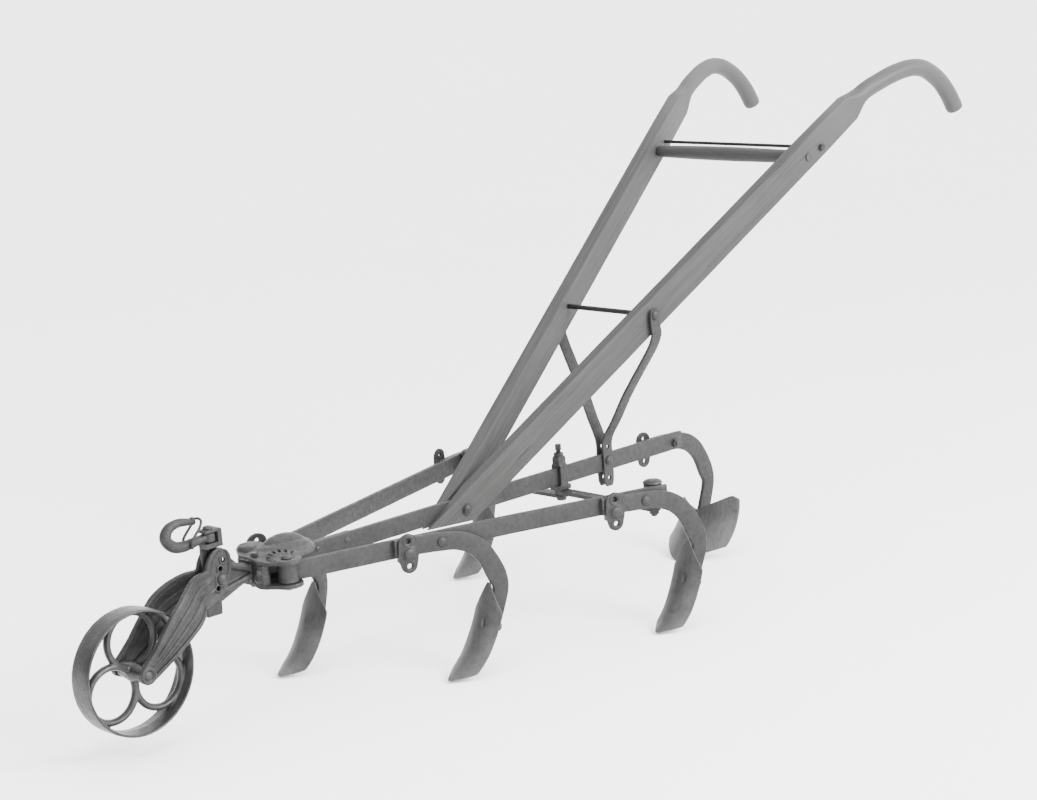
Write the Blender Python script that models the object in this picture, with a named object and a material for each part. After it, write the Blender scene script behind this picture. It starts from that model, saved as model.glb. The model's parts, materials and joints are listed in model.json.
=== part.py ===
"""Five-tooth expanding walking cultivator (horse hoe) with a front gauge wheel.

World frame, metres: +X from the wheel to the handles, +Y to the machine's right, +Z up.
The origin is at the ground, under the middle of the machine's overall box.
"""
import math

import bmesh
import bpy
from mathutils import Matrix, Vector
from mathutils.geometry import tessellate_polygon

# ---- driving dimensions -------------------------------------------------------------
GAP = 0.0003                    # clearance between faces that touch
BEAM_Z = 0.262                  # height of the frame bars' centre lines
BAR_HEIGHT = 0.0355
BAR_THICK = 0.010
BEAM_FRONT_X = -0.652
BEAM_REAR_X = 0.448

PIVOT_X = -0.6495               # vertical pivots of the side bars
PIVOT_Y = 0.0505
SIDE_ANGLE = math.radians(17.1)
SIDE_LENGTH = 0.782             # pivot to rear end
HUB_RADIUS = 0.019
END_PIN_S = 0.7644              # expander pin, measured along the bar from the pivot
END_PIN_INSET = 0.0201          # and inwards from the bar's centre line
END_BOSS_RADIUS = 0.018

PLATE_THICK = 0.009             # head castings above and below the bars
LOBE_RADIUS = 0.027

FORK_X = -0.766                 # bolt that carries the wheel fork
FORK_Z = 0.2675
WEB_THICK = 0.008
ARM_THICK = 0.008
ARM_SPREAD = 0.040              # arm centre to wheel centre, beside the wheel
WHEEL_X = -0.9625
WHEEL_Z = 0.150
WHEEL_RADIUS = 0.112
WHEEL_WIDTH = 0.050
RIM_THICK = 0.006
RIB_WIDTH = 0.0085
WEB_HALF = 0.0045
WHEEL_FACETS = 40
AXLE_RADIUS = 0.007

# Side view of a fork arm, top to axle: (x, z) and the half depth at each point.
ARM_PATH = ((-0.757, 0.3215), (-0.7585, 0.312), (-0.763, 0.292), (-0.769, 0.2700),
            (-0.791, 0.2585), (-0.825, 0.2520), (-0.861, 0.2315), (-0.892, 0.2050),
            (-0.928, 0.1745), (-0.9625, 0.1500), (-0.971, 0.1455), (-0.9765, 0.1425))
ARM_HALF = (0.010, 0.019, 0.0235, 0.0255, 0.0308, 0.0340, 0.0330, 0.0290, 0.0215, 0.0155,
            0.0110, 0.0035)

DRAFT_X = -0.775
DRAFT_WIDTH = 0.034
DRAFT_BOTTOM = 0.199
CLEVIS_BOTTOM = 0.3265
CLEVIS_TOP = 0.3600
CLEVIS_FRONT_X = -0.789
CLEVIS_BACK_X = -0.761
CLEVIS_HALF = 0.0105
HOOK_PIN_X = -0.778
HOOK_Z = 0.345
KEEPER_X = -0.823
KEEPER_Z = 0.339

HANDLE_LOW = Vector((-0.173, 0.019, 0.2734))
HANDLE_HIGH = Vector((0.771, 0.2377, 0.9288))
HANDLE_DEPTH = 0.057
HANDLE_THICK = 0.028
HANDLE_FOOT_Z = 0.238
HANDLE_BOLT_X = -0.1900
GRIP_RADIUS = 0.0180
GRIP_ROUTE = ((0.8000, 0.2450, 0.9490), (0.8435, 0.2570, 0.9675), (0.8840, 0.2670, 0.9800),
              (0.9250, 0.2755, 0.9850), (0.9640, 0.2785, 0.9770), (1.0055, 0.2800, 0.9520),
              (1.0360, 0.2808, 0.9205), (1.0592, 0.2812, 0.8850))
CROSSPIECE_X = 0.642
CROSSPIECE_Z = 0.8335
CROSS_ROD_X = 0.672
CROSS_ROD_Z = 0.850
TIE_ROD_X = 0.249
TIE_ROD_Z = 0.570
BRACE_X = 0.221
BRACE_WIDTH = 0.022
BRACE_THICK = 0.005

EXPANDER_X = 0.091
EXPANDER_HALF = 0.013
LINK_THICK = 0.007
LINK_WIDTH = 0.026
LINK_TOP = {-1: 0.2335, 1: 0.2255}

# Bolt stations of the standards: along each side bar from its pivot, and along the beam.
SIDE_STATIONS = {-1: (0.2982, 0.7285), 1: (0.1140, 0.7730)}
REAR_TOOL_S = 0.424
CLAMP_DROP = {-1: -0.011, 1: 0.002}  # clamp plates sit lower on the left bar
BEAM_CLAMP_DROP = -0.006
CLAMP_HALF_HEIGHT = 0.0375
EAR_OFFSET = 0.0235
TOOL_SPACING = 0.070            # clamp plate ahead of the standard's bolt
# Standard from its front end to its lower end: (along, height) from its bolt, half depths.
STANDARD_PATH = ((-0.094, 0.0), (-0.040, -0.001), (0.0, -0.003), (0.032, -0.007),
                 (0.064, -0.021), (0.088, -0.046), (0.1025, -0.082), (0.1100, -0.112),
                 (0.0985, -0.150), (0.0866, -0.180), (0.0730, -0.206))
STANDARD_HALF = (0.0168, 0.0172, 0.0174, 0.0176, 0.0180, 0.0180, 0.0160, 0.0122,
                 0.012, 0.0118, 0.0113)
TOOTH_PROFILE = ((0.0830, -0.098), (0.0755, -0.130), (0.0670, -0.160), (0.0510, -0.194),
                 (0.0330, -0.2215), (0.0080, -0.2440), (-0.0180, -0.2562))
TOOTH_BOLT_AT = (0.0635, -0.1705)
STANDARD_THICK = 0.010
TOOTH_WIDTH = 0.066
TIP_LEAD = {"left_front": 0.013}   # this tooth is set further forward at its point
TOOTH_THICK = 0.006
TOOTH_CROWN = 0.010             # how far the edges lie behind the middle
SHOVEL_HALF_SPAN = 0.080
BOLT_RADIUS = 0.005

IRON = (0.085, 0.08, 0.075, 1.0)
CAST = (0.06, 0.058, 0.056, 1.0)
STEEL = (0.16, 0.15, 0.14, 1.0)
WOOD = (0.30, 0.20, 0.11, 1.0)

UP = Vector((0.0, 0.0, 1.0))
SIDEWAYS = Vector((0.0, 1.0, 0.0))


# ---- scene helpers ------------------------------------------------------------------
def clear_scene():
    for item in list(bpy.data.objects):
        bpy.data.objects.remove(item, do_unlink=True)


def make_material(name, colour, roughness, metallic):
    material = bpy.data.materials.new(name)
    material.use_nodes = True
    shader = material.node_tree.nodes["Principled BSDF"]
    shader.inputs["Base Color"].default_value = colour
    shader.inputs["Roughness"].default_value = roughness
    shader.inputs["Metallic"].default_value = metallic
    return material


def make_body(name, point, parent=None):
    """An empty on a joint's axis; the pieces that move together hang from it."""
    empty = bpy.data.objects.new(name, None)
    empty.location = Vector(point) - (Vector(parent["joint_point"]) if parent else Vector())
    empty["joint_point"] = tuple(point)
    empty.parent = parent
    bpy.context.scene.collection.objects.link(empty)
    return empty


def make_piece(name, bm, body, finish, smooth=False):
    """Turn a world-space bmesh into an object whose origin is on its body's joint."""
    bmesh.ops.remove_doubles(bm, verts=bm.verts, dist=1e-6)
    bmesh.ops.recalc_face_normals(bm, faces=bm.faces)
    bmesh.ops.translate(bm, verts=bm.verts, vec=-Vector(body["joint_point"]))
    mesh = bpy.data.meshes.new(name)
    bm.to_mesh(mesh)
    bm.free()
    colour, roughness, metallic = finish
    mesh.materials.append(make_material(name + "_finish", colour, roughness, metallic))
    piece = bpy.data.objects.new(name, mesh)
    piece.parent = body
    bpy.context.scene.collection.objects.link(piece)
    if smooth:
        mesh.shade_smooth()
        mesh.set_sharp_from_angle(angle=math.radians(40))
    return piece


def hide_tool(tool):
    tool.hide_render = True
    tool.display_type = "WIRE"


def combine(piece, bm, body, operation):
    """Add to or cut from a piece with a second closed shape."""
    tool = make_piece(piece.name + "_" + operation.lower() + str(len(piece.modifiers)),
                      bm, body, (CAST, 0.6, 0.0))
    hide_tool(tool)
    modifier = piece.modifiers.new(operation.title(), "BOOLEAN")
    modifier.operation = operation
    modifier.object = tool
    modifier.solver = "EXACT"


# ---- solid builders -----------------------------------------------------------------
def loft(rings):
    """A closed skin through rings of points, with flat ends."""
    bm = bmesh.new()
    loops = [[bm.verts.new(point) for point in ring] for ring in rings]
    count = len(loops[0])
    for first, second in zip(loops, loops[1:]):
        for i in range(count):
            j = (i + 1) % count
            bm.faces.new((first[i], first[j], second[j], second[i]))
    bm.faces.new(loops[0][::-1])
    bm.faces.new(loops[-1])
    return bm


def frame_for(direction):
    """Two unit vectors square to a direction."""
    direction = direction.normalized()
    side = UP.cross(direction)
    if side.length < 1e-4:
        side = Vector((1.0, 0.0, 0.0))
    side.normalize()
    return side, direction.cross(side)


def turned(start, direction, steps, count=6):
    """Rings along an axis; a step is (distance, radius) or (distance, radius, 'hex')."""
    direction = Vector(direction).normalized()
    side, other = frame_for(direction)
    rings = []
    for step in steps:
        ring = []
        for k in range(count):
            angle = 2.0 * math.pi * k / count
            radius = step[1]
            if len(step) > 2:
                within = (angle % (math.pi / 3.0)) - math.pi / 6.0
                radius *= math.cos(math.pi / 6.0) / math.cos(within)
            offset = side * math.cos(angle) * radius + other * math.sin(angle) * radius
            ring.append(Vector(start) + direction * step[0] + offset)
        rings.append(ring)
    return loft(rings)


def rod(start, end, radius, count=10):
    direction = Vector(end) - Vector(start)
    return turned(start, direction, [(0.0, radius), (direction.length, radius)], count)


def bolt_shape(start, end, radius, head=(0.009, 0.007), nut=(0.009, 0.008), round_head=False):
    """Shank from start to end, a head outside the start and a hex nut outside the end."""
    direction = Vector(end) - Vector(start)
    length = direction.length
    head_radius, head_high = head
    nut_radius, nut_high = nut
    kind = () if round_head else ("hex",)
    crown = [(-head_high, 0.6 * head_radius)] if round_head else []
    steps = crown + [(-0.5 * head_high if round_head else -head_high, head_radius) + kind,
                     (0.0, head_radius) + kind, (0.0, radius), (length, radius),
                     (length, nut_radius, "hex"), (length + nut_high, nut_radius, "hex")]
    return turned(start, direction, steps, 12 if round_head else 6)


def slab(outline, holes, low, high, place):
    """A flat plate with holes; place turns (u, v, height) into world points."""
    bm = bmesh.new()
    loops = [outline] + holes
    flat = [point for loop in loops for point in loop]
    bottom = [bm.verts.new(place(u, v, low)) for u, v in flat]
    top = [bm.verts.new(place(u, v, high)) for u, v in flat]
    triangles = tessellate_polygon([[Vector((u, v, 0.0)) for u, v in loop] for loop in loops])
    for a, b, c in triangles:
        bm.faces.new((bottom[a], bottom[b], bottom[c]))
        bm.faces.new((top[c], top[b], top[a]))
    first = 0
    for loop in loops:
        for i in range(len(loop)):
            a, b = first + i, first + (i + 1) % len(loop)
            bm.faces.new((bottom[a], bottom[b], top[b], top[a]))
        first += len(loop)
    return bm


def circle(u, v, radius, count=12, start=0.0):
    turn = 2.0 * math.pi / count
    return [(u + radius * math.cos(start + turn * k), v + radius * math.sin(start + turn * k))
            for k in range(count)]


def arc(u, v, radius, first, last, count):
    """Points on an arc, angles in degrees."""
    return [(u + radius * math.cos(math.radians(first + (last - first) * k / count)),
             v + radius * math.sin(math.radians(first + (last - first) * k / count)))
            for k in range(count + 1)]


def smooth_path(points, steps):
    """Catmull-Rom curve through points of any dimension, with steps per span."""
    knots = [Vector(point) for point in points]
    ends = [2.0 * knots[0] - knots[1]] + knots + [2.0 * knots[-1] - knots[-2]]
    path = []
    for k in range(1, len(ends) - 2):
        a, b, c, d = ends[k - 1:k + 3]
        for j in range(steps):
            t = j / steps
            path.append(0.5 * (2.0 * b + (c - a) * t + (2.0 * a - 5.0 * b + 4.0 * c - d) * t ** 2
                               + (3.0 * b - a - 3.0 * c + d) * t ** 3))
    return path + [knots[-1]]


def tangents(path):
    last = len(path) - 1
    return [(path[min(k + 1, last)] - path[max(k - 1, 0)]).normalized()
            for k in range(last + 1)]


def strip(path, halves, near, far, place):
    """A flat bar on edge: a path in (u, v), half depths across it, faces at near and far."""
    rings = []
    for point, tangent, half in zip(path, tangents(path), halves):
        normal = Vector((-tangent.y, tangent.x))
        high = point + normal * half
        low = point - normal * half
        rings.append([place(high.x, high.y, near), place(high.x, high.y, far),
                      place(low.x, low.y, far), place(low.x, low.y, near)])
    return loft(rings)


def tube(path, radii, count=8):
    rings = []
    side = None
    for point, tangent, radius in zip(path, tangents(path), radii):
        side = frame_for(tangent)[0] if side is None else side
        side = (side - tangent * side.dot(tangent)).normalized()
        other = tangent.cross(side)
        rings.append([point + side * math.cos(turn) * radius + other * math.sin(turn) * radius
                      for turn in (2.0 * math.pi * k / count for k in range(count))])
    return loft(rings)


def upright(u, v, height):
    """Plate drawn in X and Z, thick along Y."""
    return Vector((u, height, v))


def level(u, v, height):
    """Plate drawn in X and Y, thick along Z."""
    return Vector((u, v, height))


# ---- bar frames: s along the bar, out away from the beam, z from the bars' centre ----
def side_point(side, s, out, z):
    cos, sin = math.cos(SIDE_ANGLE), math.sin(SIDE_ANGLE)
    along = s * cos - out * sin
    across = s * sin + out * cos
    return Vector((PIVOT_X + along, side * (PIVOT_Y + across), BEAM_Z + z))


def beam_point(side, s, out, z):
    return Vector((s, side * out, BEAM_Z + z))


# ---- head and frame -----------------------------------------------------------------
def head_outline():
    """Plan of the head castings: two lobes at the pivots and a tail between the bars."""
    right = [(-0.698, 0.026)]
    right += arc(PIVOT_X, PIVOT_Y, LOBE_RADIUS, 155.0, -35.0, 12)
    right += [(-0.590, 0.026), (-0.566, 0.012)]
    left = [(u, -v) for u, v in reversed(right)]
    return right + left


def build_head(root, cast, steel):
    outline = head_outline()
    bolt_hole = circle(-0.682, 0.0, 0.0063)
    holes = [circle(PIVOT_X, side * PIVOT_Y, 0.0068) for side in (-1, 1)] + [bolt_hole]
    top = BEAM_Z + BAR_HEIGHT / 2 + GAP
    bottom = BEAM_Z - BAR_HEIGHT / 2 - GAP
    make_piece("head_top_plate", slab(outline, holes, top, top + PLATE_THICK, level),
               root, cast)
    make_piece("head_bottom_plate", slab(outline, holes, bottom - PLATE_THICK, bottom, level),
               root, cast)
    for side, word in ((-1, "left"), (1, "right")):
        shape = bolt_shape((PIVOT_X, side * PIVOT_Y, top + PLATE_THICK + GAP),
                           (PIVOT_X, side * PIVOT_Y, bottom - PLATE_THICK - GAP),
                           0.0062, head=(0.011, 0.007), nut=(0.010, 0.008))
        make_piece("pivot_bolt_" + word, shape, root, steel)
    shape = bolt_shape((-0.682, 0.0, top + PLATE_THICK + GAP),
                       (-0.682, 0.0, bottom - PLATE_THICK - GAP), 0.0058)
    make_piece("head_bolt", shape, root, steel)


def build_neck(root, cast):
    """Web that carries the fork and the draft bar, with a tang along the beam."""
    half = BAR_HEIGHT / 2
    web = [(-0.700, BEAM_Z - 0.013), (-0.742, 0.232)]
    web += arc(-0.766, 0.240, 0.016, -60.0, -170.0, 5)
    web += [(-0.786, 0.262), (-0.781, 0.296)]
    web += arc(-0.762, 0.305, 0.017, 170.0, 20.0, 6)
    web += [(-0.738, 0.300), (-0.715, 0.275), (-0.700, BEAM_Z + 0.007),
            (-0.690, BEAM_Z + 0.007), (-0.690, BEAM_Z - 0.013)]
    holes = [circle(-0.752, 0.2985, 0.0048, 10), circle(-0.7595, 0.284, 0.0048, 10),
             circle(-0.7675, 0.250, 0.0048, 10), circle(FORK_X, FORK_Z, 0.0056)]
    neck = make_piece("neck_bracket", slab(web, holes, -WEB_THICK / 2, WEB_THICK / 2, upright),
                      root, cast)
    block = [(-0.701, -0.012), (-0.657, -0.012), (-0.657, 0.0053), (-0.470, 0.0053),
             (-0.455, 0.0053), (-0.455, 0.0113), (-0.650, 0.0113), (-0.701, 0.012)]
    combine(neck, slab(block, [circle(-0.682, 0.0, 0.0061)], BEAM_Z - half + GAP,
                       BEAM_Z + half - GAP, level), root, "UNION")


def build_beam(root, iron):
    half = BAR_HEIGHT / 2
    outline = [(BEAM_FRONT_X, BEAM_Z - half), (BEAM_REAR_X, BEAM_Z - half),
               (BEAM_REAR_X, BEAM_Z + half), (BEAM_FRONT_X, BEAM_Z + half)]
    holes = [circle(HANDLE_BOLT_X, BEAM_Z, 0.0056), circle(BRACE_X, BEAM_Z + 0.004, 0.0056),
             circle(REAR_TOOL_S, BEAM_Z - 0.003, 0.0056)]
    make_piece("centre_beam", slab(outline, holes, -BAR_THICK / 2, BAR_THICK / 2, upright),
               root, iron)


def build_side_bar(side, word, body, iron, steel, bolt_stations):
    half = BAR_HEIGHT / 2
    start = HUB_RADIUS * 0.6
    outline = [(start, -half), (SIDE_LENGTH, -half), (SIDE_LENGTH, half), (start, half)]
    holes = [circle(station, -0.003, 0.0056) for station in bolt_stations]

    def place(u, v, height):
        return side_point(side, u, height, v)

    bar = make_piece("side_bar_" + word, slab(outline, holes, -BAR_THICK / 2, BAR_THICK / 2, place),
                     body, iron)
    pivot = side_point(side, 0.0, 0.0, -half)
    combine(bar, turned(pivot, UP, [(0.0, HUB_RADIUS), (BAR_HEIGHT, HUB_RADIUS)], 20),
            body, "UNION")
    pin = side_point(side, END_PIN_S, -END_PIN_INSET, -half + GAP)
    boss_high = BAR_HEIGHT - 2 * GAP
    combine(bar, turned(pin, UP, [(0.0, END_BOSS_RADIUS), (boss_high, END_BOSS_RADIUS)], 16),
            body, "UNION")
    for hole in (pivot, pin):
        combine(bar, rod(hole - UP * 0.01, hole + UP * 0.05, 0.0070), body, "DIFFERENCE")
    cap = Vector((pin.x, pin.y, BEAM_Z + half + GAP))
    steps = [(-0.0075, 0.010), (-0.006, 0.016), (-0.003, 0.019), (0.0, 0.019), (0.0, 0.0062),
             (BAR_HEIGHT + 0.006, 0.0062)]
    make_piece("end_pin_" + word, turned(cap, -UP, steps, 16), body, steel)


# ---- tools --------------------------------------------------------------------------
def standard_curve(steps=2):
    """Centre line and half depths of a standard, s from its bolt and z from the bar."""
    knots = [(u, v, half) for (u, v), half in zip(STANDARD_PATH, STANDARD_HALF)]
    curve = smooth_path(knots, steps)
    return [Vector((point.x, point.y)) for point in curve], [point.z for point in curve]


def tooth_rings(origin, profile, width, crown, thick, columns=4):
    """A curved blade across Y: pointed at both ends, its edges behind its middle."""
    path = smooth_path([Vector(point) for point in profile], 2)
    directions = tangents(path)
    last = len(path) - 1
    fronts, backs = [], []
    for k, (point, tangent) in enumerate(zip(path, directions)):
        normal = Vector((-tangent.y, tangent.x))
        reach = min(1.0, 0.08 + 3.4 * k / last, 0.16 + 4.2 * (last - k) / last)
        front, back = [], []
        for c in range(columns + 1):
            across = (2.0 * c / columns - 1.0) * reach
            set_back = crown * across * across
            y = across * width / 2 * (1.0 + 0.10 * math.cos(math.pi * (k / last - 0.35)))
            place = point + normal * set_back
            front.append(origin + Vector((place.x, y, place.y)))
            place = place + normal * thick
            back.append(origin + Vector((place.x, y, place.y)))
        fronts.append(front)
        backs.append(back)
    return [front + back[::-1] for front, back in zip(fronts, backs)]


def build_tool(word, side, station, frame_point, drop, body, finishes, blade):
    """Clamp plate, standard, its bolt and the blade with its bolt, on a bar's outer face."""
    iron, steel, cast = finishes
    face = BAR_THICK / 2 + GAP
    outer = face + STANDARD_THICK

    def place(u, v, height):
        return frame_point(side, station + u, height, v)

    path, halves = standard_curve()
    standard = make_piece("standard_" + word, strip(path, halves, face, outer, place),
                          body, iron)
    inner = place(0.0, -0.003, -BAR_THICK / 2 - GAP)
    outside = place(0.0, -0.003, outer + GAP)
    along = (outside - inner).normalized()
    combine(standard, rod(inner - along * 0.02, outside + along * 0.02, 0.0056), body,
            "DIFFERENCE")
    if station > END_PIN_S:     # no room for a nut beside the end pin: it screws into the bar
        depth = (outside - place(0.0, -0.003, -0.0012)).length
        shape = turned(outside, -along, [(-0.005, 0.006), (-0.0025, 0.010), (0.0, 0.010),
                                         (0.0, BOLT_RADIUS), (depth, BOLT_RADIUS)], 12)
    else:
        shape = bolt_shape(outside, inner, BOLT_RADIUS, head=(0.010, 0.005), round_head=True)
    make_piece("standard_bolt_" + word, shape, body, steel)

    plate = [(-TOOL_SPACING + 0.020 * u, drop + CLAMP_HALF_HEIGHT * v) for u, v in clamp_outline()]
    ears = [circle(-TOOL_SPACING, drop + sign * EAR_OFFSET, 0.0046, 10) for sign in (-1, 1)]
    make_piece("clamp_plate_" + word, slab(plate, ears, outer + GAP, outer + 0.0063, place),
               body, cast)
    blade(word, place, body, standard, (steel, iron))


def clamp_outline():
    """Long oval with two round ears: unit half width and half height."""
    half = [(0.0, 1.0), (0.36, 0.94), (0.66, 0.80), (0.80, 0.58), (0.83, 0.30), (0.88, 0.0),
            (0.80, -0.30), (0.69, -0.60), (0.56, -0.82), (0.30, -0.95), (0.0, -1.0)]
    return half + [(-u, v) for u, v in half[-2:0:-1]]


def add_tooth(word, place, body, standard, finishes):
    """Narrow reversible steel; it faces straight ahead whatever the bar's angle is."""
    steel, iron = finishes
    middle = blade_origin(place)
    lead, top, tip = TIP_LEAD.get(word, 0.0), TOOTH_PROFILE[0][1], TOOTH_PROFILE[-1][1]
    profile = [(u - lead * ((top - v) / (top - tip)) ** 2, v) for u, v in TOOTH_PROFILE]
    tooth = make_piece("tooth_" + word,
                       loft(tooth_rings(middle, profile, TOOTH_WIDTH, TOOTH_CROWN,
                                        TOOTH_THICK)), body, steel)
    u, v = TOOTH_BOLT_AT
    u -= lead * ((top - v) / (top - tip)) ** 2
    add_blade_bolt(word, middle + Vector((u, 0.0, v)), place, body, (tooth, standard), iron)


def blade_origin(place):
    """Level with the bar's centre, abreast of the standard's lower end."""
    middle = BAR_THICK / 2 + GAP + STANDARD_THICK / 2
    origin = place(0.0, 0.0, middle)
    origin.y = place(0.0920, 0.0, middle).y
    return origin


def add_shovel(word, place, body, standard, finishes):
    """Wide V-shaped shovel of the rear standard."""
    steel, iron = finishes
    middle = blade_origin(place)
    rings = []
    columns = 8
    for k in range(9):
        t = k / 8
        front, back = [], []
        for c in range(columns + 1):
            across = 2.0 * c / columns - 1.0
            wing = abs(across)
            rise = 0.036 if across < 0.0 else 0.014     # worn lower on the right
            high = -0.166 + rise * wing - 0.10 * max(0.0, wing - 0.86)
            low = -0.262 + 0.026 * wing
            z = high + (low - high) * t
            drop = 0.13 + 0.87 * t
            lean = 0.0722 - 0.012 * drop - 0.060 * drop * drop
            x = lean + (0.046 + 0.026 * t) * wing ** 1.5
            y = across * SHOVEL_HALF_SPAN
            front.append(middle + Vector((x, y, z)))
            back.append(middle + Vector((x + TOOTH_THICK * (1.0 + 0.35 * wing), y, z)))
        rings.append(front + back[::-1])
    shovel = make_piece("shovel_" + word, loft(rings), body, steel)
    add_blade_bolt(word, middle + Vector((0.0620, 0.0, -0.1730)), place, body,
                   (shovel, standard), iron)


def add_blade_bolt(word, point, place, body, drilled, iron):
    """Bolt through a blade and its standard, in the standard's plane."""
    direction = (place(0.92, -0.38, 0.0) - place(0.0, 0.0, 0.0)).normalized()
    start = point - direction * 0.003
    end = point + direction * 0.0375
    for piece in drilled:
        combine(piece, rod(start - direction * 0.02, end + direction * 0.02, 0.0046), body,
                "DIFFERENCE")
    make_piece("blade_bolt_" + word,
               bolt_shape(start, end, 0.0042, head=(0.0085, 0.003), nut=(0.0085, 0.007),
                          round_head=True), body, iron)


# ---- wheel, fork and draft gear -----------------------------------------------------
def build_wheel(wheel, cast):
    """Turned rim and hub, and a web of three touching rings."""
    inner = WHEEL_RADIUS - RIM_THICK
    half = WHEEL_WIDTH / 2
    ring_pitch = inner / (1.0 + 2.0 / math.sqrt(3.0)) * (2.0 / math.sqrt(3.0))
    ring_radius = ring_pitch * math.sqrt(3.0) / 2.0 - RIB_WIDTH / 2
    centres = [polar(ring_pitch, 90.0 + 120.0 * k) for k in range(3)]

    def place(u, v, height):
        return Vector((WHEEL_X + u, height, WHEEL_Z + v))

    holes = [circle(u, v, ring_radius, 16) for u, v in centres]
    holes += [gusset_hole(ring_pitch, ring_radius, inner, k) for k in range(3)]
    bm = slab(circle(0.0, 0.0, inner, WHEEL_FACETS), holes, -WEB_HALF, WEB_HALF, place)
    skirt = [face for face in bm.faces if len(face.verts) == 4
             and all((vert.co - place(0.0, 0.0, vert.co.y)).length > inner - 1e-5
                     for vert in face.verts)]
    bmesh.ops.delete(bm, geom=skirt, context="FACES_ONLY")
    section = [(inner, -WEB_HALF), (inner, -half), (WHEEL_RADIUS, -half), (WHEEL_RADIUS, half),
               (inner, half), (inner, WEB_HALF)]
    loops = [[bm.verts.new(place(u, v, height))
              for u, v in circle(0.0, 0.0, radius, WHEEL_FACETS)] for radius, height in section]
    for first, second in zip(loops, loops[1:]):
        for i in range(WHEEL_FACETS):
            j = (i + 1) % WHEEL_FACETS
            bm.faces.new((first[i], first[j], second[j], second[i]))
    piece = make_piece("wheel", bm, wheel, cast, smooth=True)
    hub_half = ARM_SPREAD - ARM_THICK / 2 - GAP
    hub_start = Vector((WHEEL_X, -hub_half, WHEEL_Z))
    combine(piece, turned(hub_start, SIDEWAYS, [(0.0, 0.013), (hub_half - 0.005, 0.0165),
                                                (hub_half + 0.005, 0.0165),
                                                (2 * hub_half, 0.013)], 20), wheel, "UNION")
    combine(piece, rod(hub_start - SIDEWAYS * 0.02, hub_start + SIDEWAYS * 0.12,
                       AXLE_RADIUS + 0.0006, 16), wheel, "DIFFERENCE")


def gusset_hole(pitch, ring_radius, inner, k):
    """Curved triangle between two neighbouring rings and the rim."""
    ring = ring_radius + RIB_WIDTH
    outer = inner - 0.003
    first, second = 90.0 + 120.0 * k, 210.0 + 120.0 * k
    meet = pitch / 2.0 + math.sqrt(ring ** 2 - 0.75 * pitch ** 2)
    swing = math.degrees(math.acos((pitch ** 2 + outer ** 2 - ring ** 2) / (2 * pitch * outer)))
    corner = polar(outer, first + swing)
    points = arc(0.0, 0.0, outer, first + swing, second - swing, 6)
    for direction, start, end in ((second, polar(outer, second - swing), polar(meet, first + 60.0)),
                                  (first, polar(meet, first + 60.0), corner)):
        centre = Vector(polar(pitch, direction))
        begin = Vector(start) - centre
        sweep = begin.angle_signed(Vector(end) - centre)
        for step in (1, 2, 3):
            turned_arm = Matrix.Rotation(-sweep * step / 3.0, 2) @ begin
            points.append(tuple(centre + turned_arm))
    return points[:-1]


def polar(radius, degrees):
    return (radius * math.cos(math.radians(degrees)), radius * math.sin(math.radians(degrees)))


def build_fork(fork, cast, steel):
    for side, word, seat in ((-1, "left", 0.0085), (1, "right", 0.0169)):
        knots = [(u, v, half) for (u, v), half in zip(ARM_PATH, ARM_HALF)]
        curve = smooth_path(knots, 2)
        path = [Vector((point.x, point.y)) for point in curve]
        rings = []
        for point, tangent, knot in zip(path, tangents(path), curve):
            bend = min(1.0, max(0.0, (-0.795 - point.x) / 0.075))
            out = seat + (ARM_SPREAD - seat) * bend * bend * (3.0 - 2.0 * bend)
            normal = Vector((-tangent.y, tangent.x))
            high = point + normal * knot.z
            low = point - normal * knot.z
            near, far = side * (out - ARM_THICK / 2), side * (out + ARM_THICK / 2)
            rings.append([Vector((high.x, near, high.y)), Vector((high.x, far, high.y)),
                          Vector((low.x, far, low.y)), Vector((low.x, near, low.y))])
        arm = make_piece("fork_arm_" + word, loft(rings), fork, cast)
        for u, v, radius in ((FORK_X, FORK_Z, 0.0056), (WHEEL_X, WHEEL_Z, AXLE_RADIUS + 0.0004)):
            combine(arm, rod((u, side * 0.06, v), (u, side * 0.002, v), radius), fork,
                    "DIFFERENCE")
    near = -0.0085 - ARM_THICK / 2 - GAP
    far = 0.0169 + ARM_THICK / 2 + GAP
    make_piece("fork_bolt", bolt_shape((FORK_X, near, FORK_Z), (FORK_X, far, FORK_Z), 0.005,
                                       head=(0.0105, 0.007)), fork, steel)
    out = ARM_SPREAD + ARM_THICK / 2 + GAP
    make_piece("wheel_axle", bolt_shape((WHEEL_X, -out, WHEEL_Z), (WHEEL_X, out, WHEEL_Z),
                                        AXLE_RADIUS, head=(0.0115, 0.007),
                                        nut=(0.0115, 0.009)), fork, steel)


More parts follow.
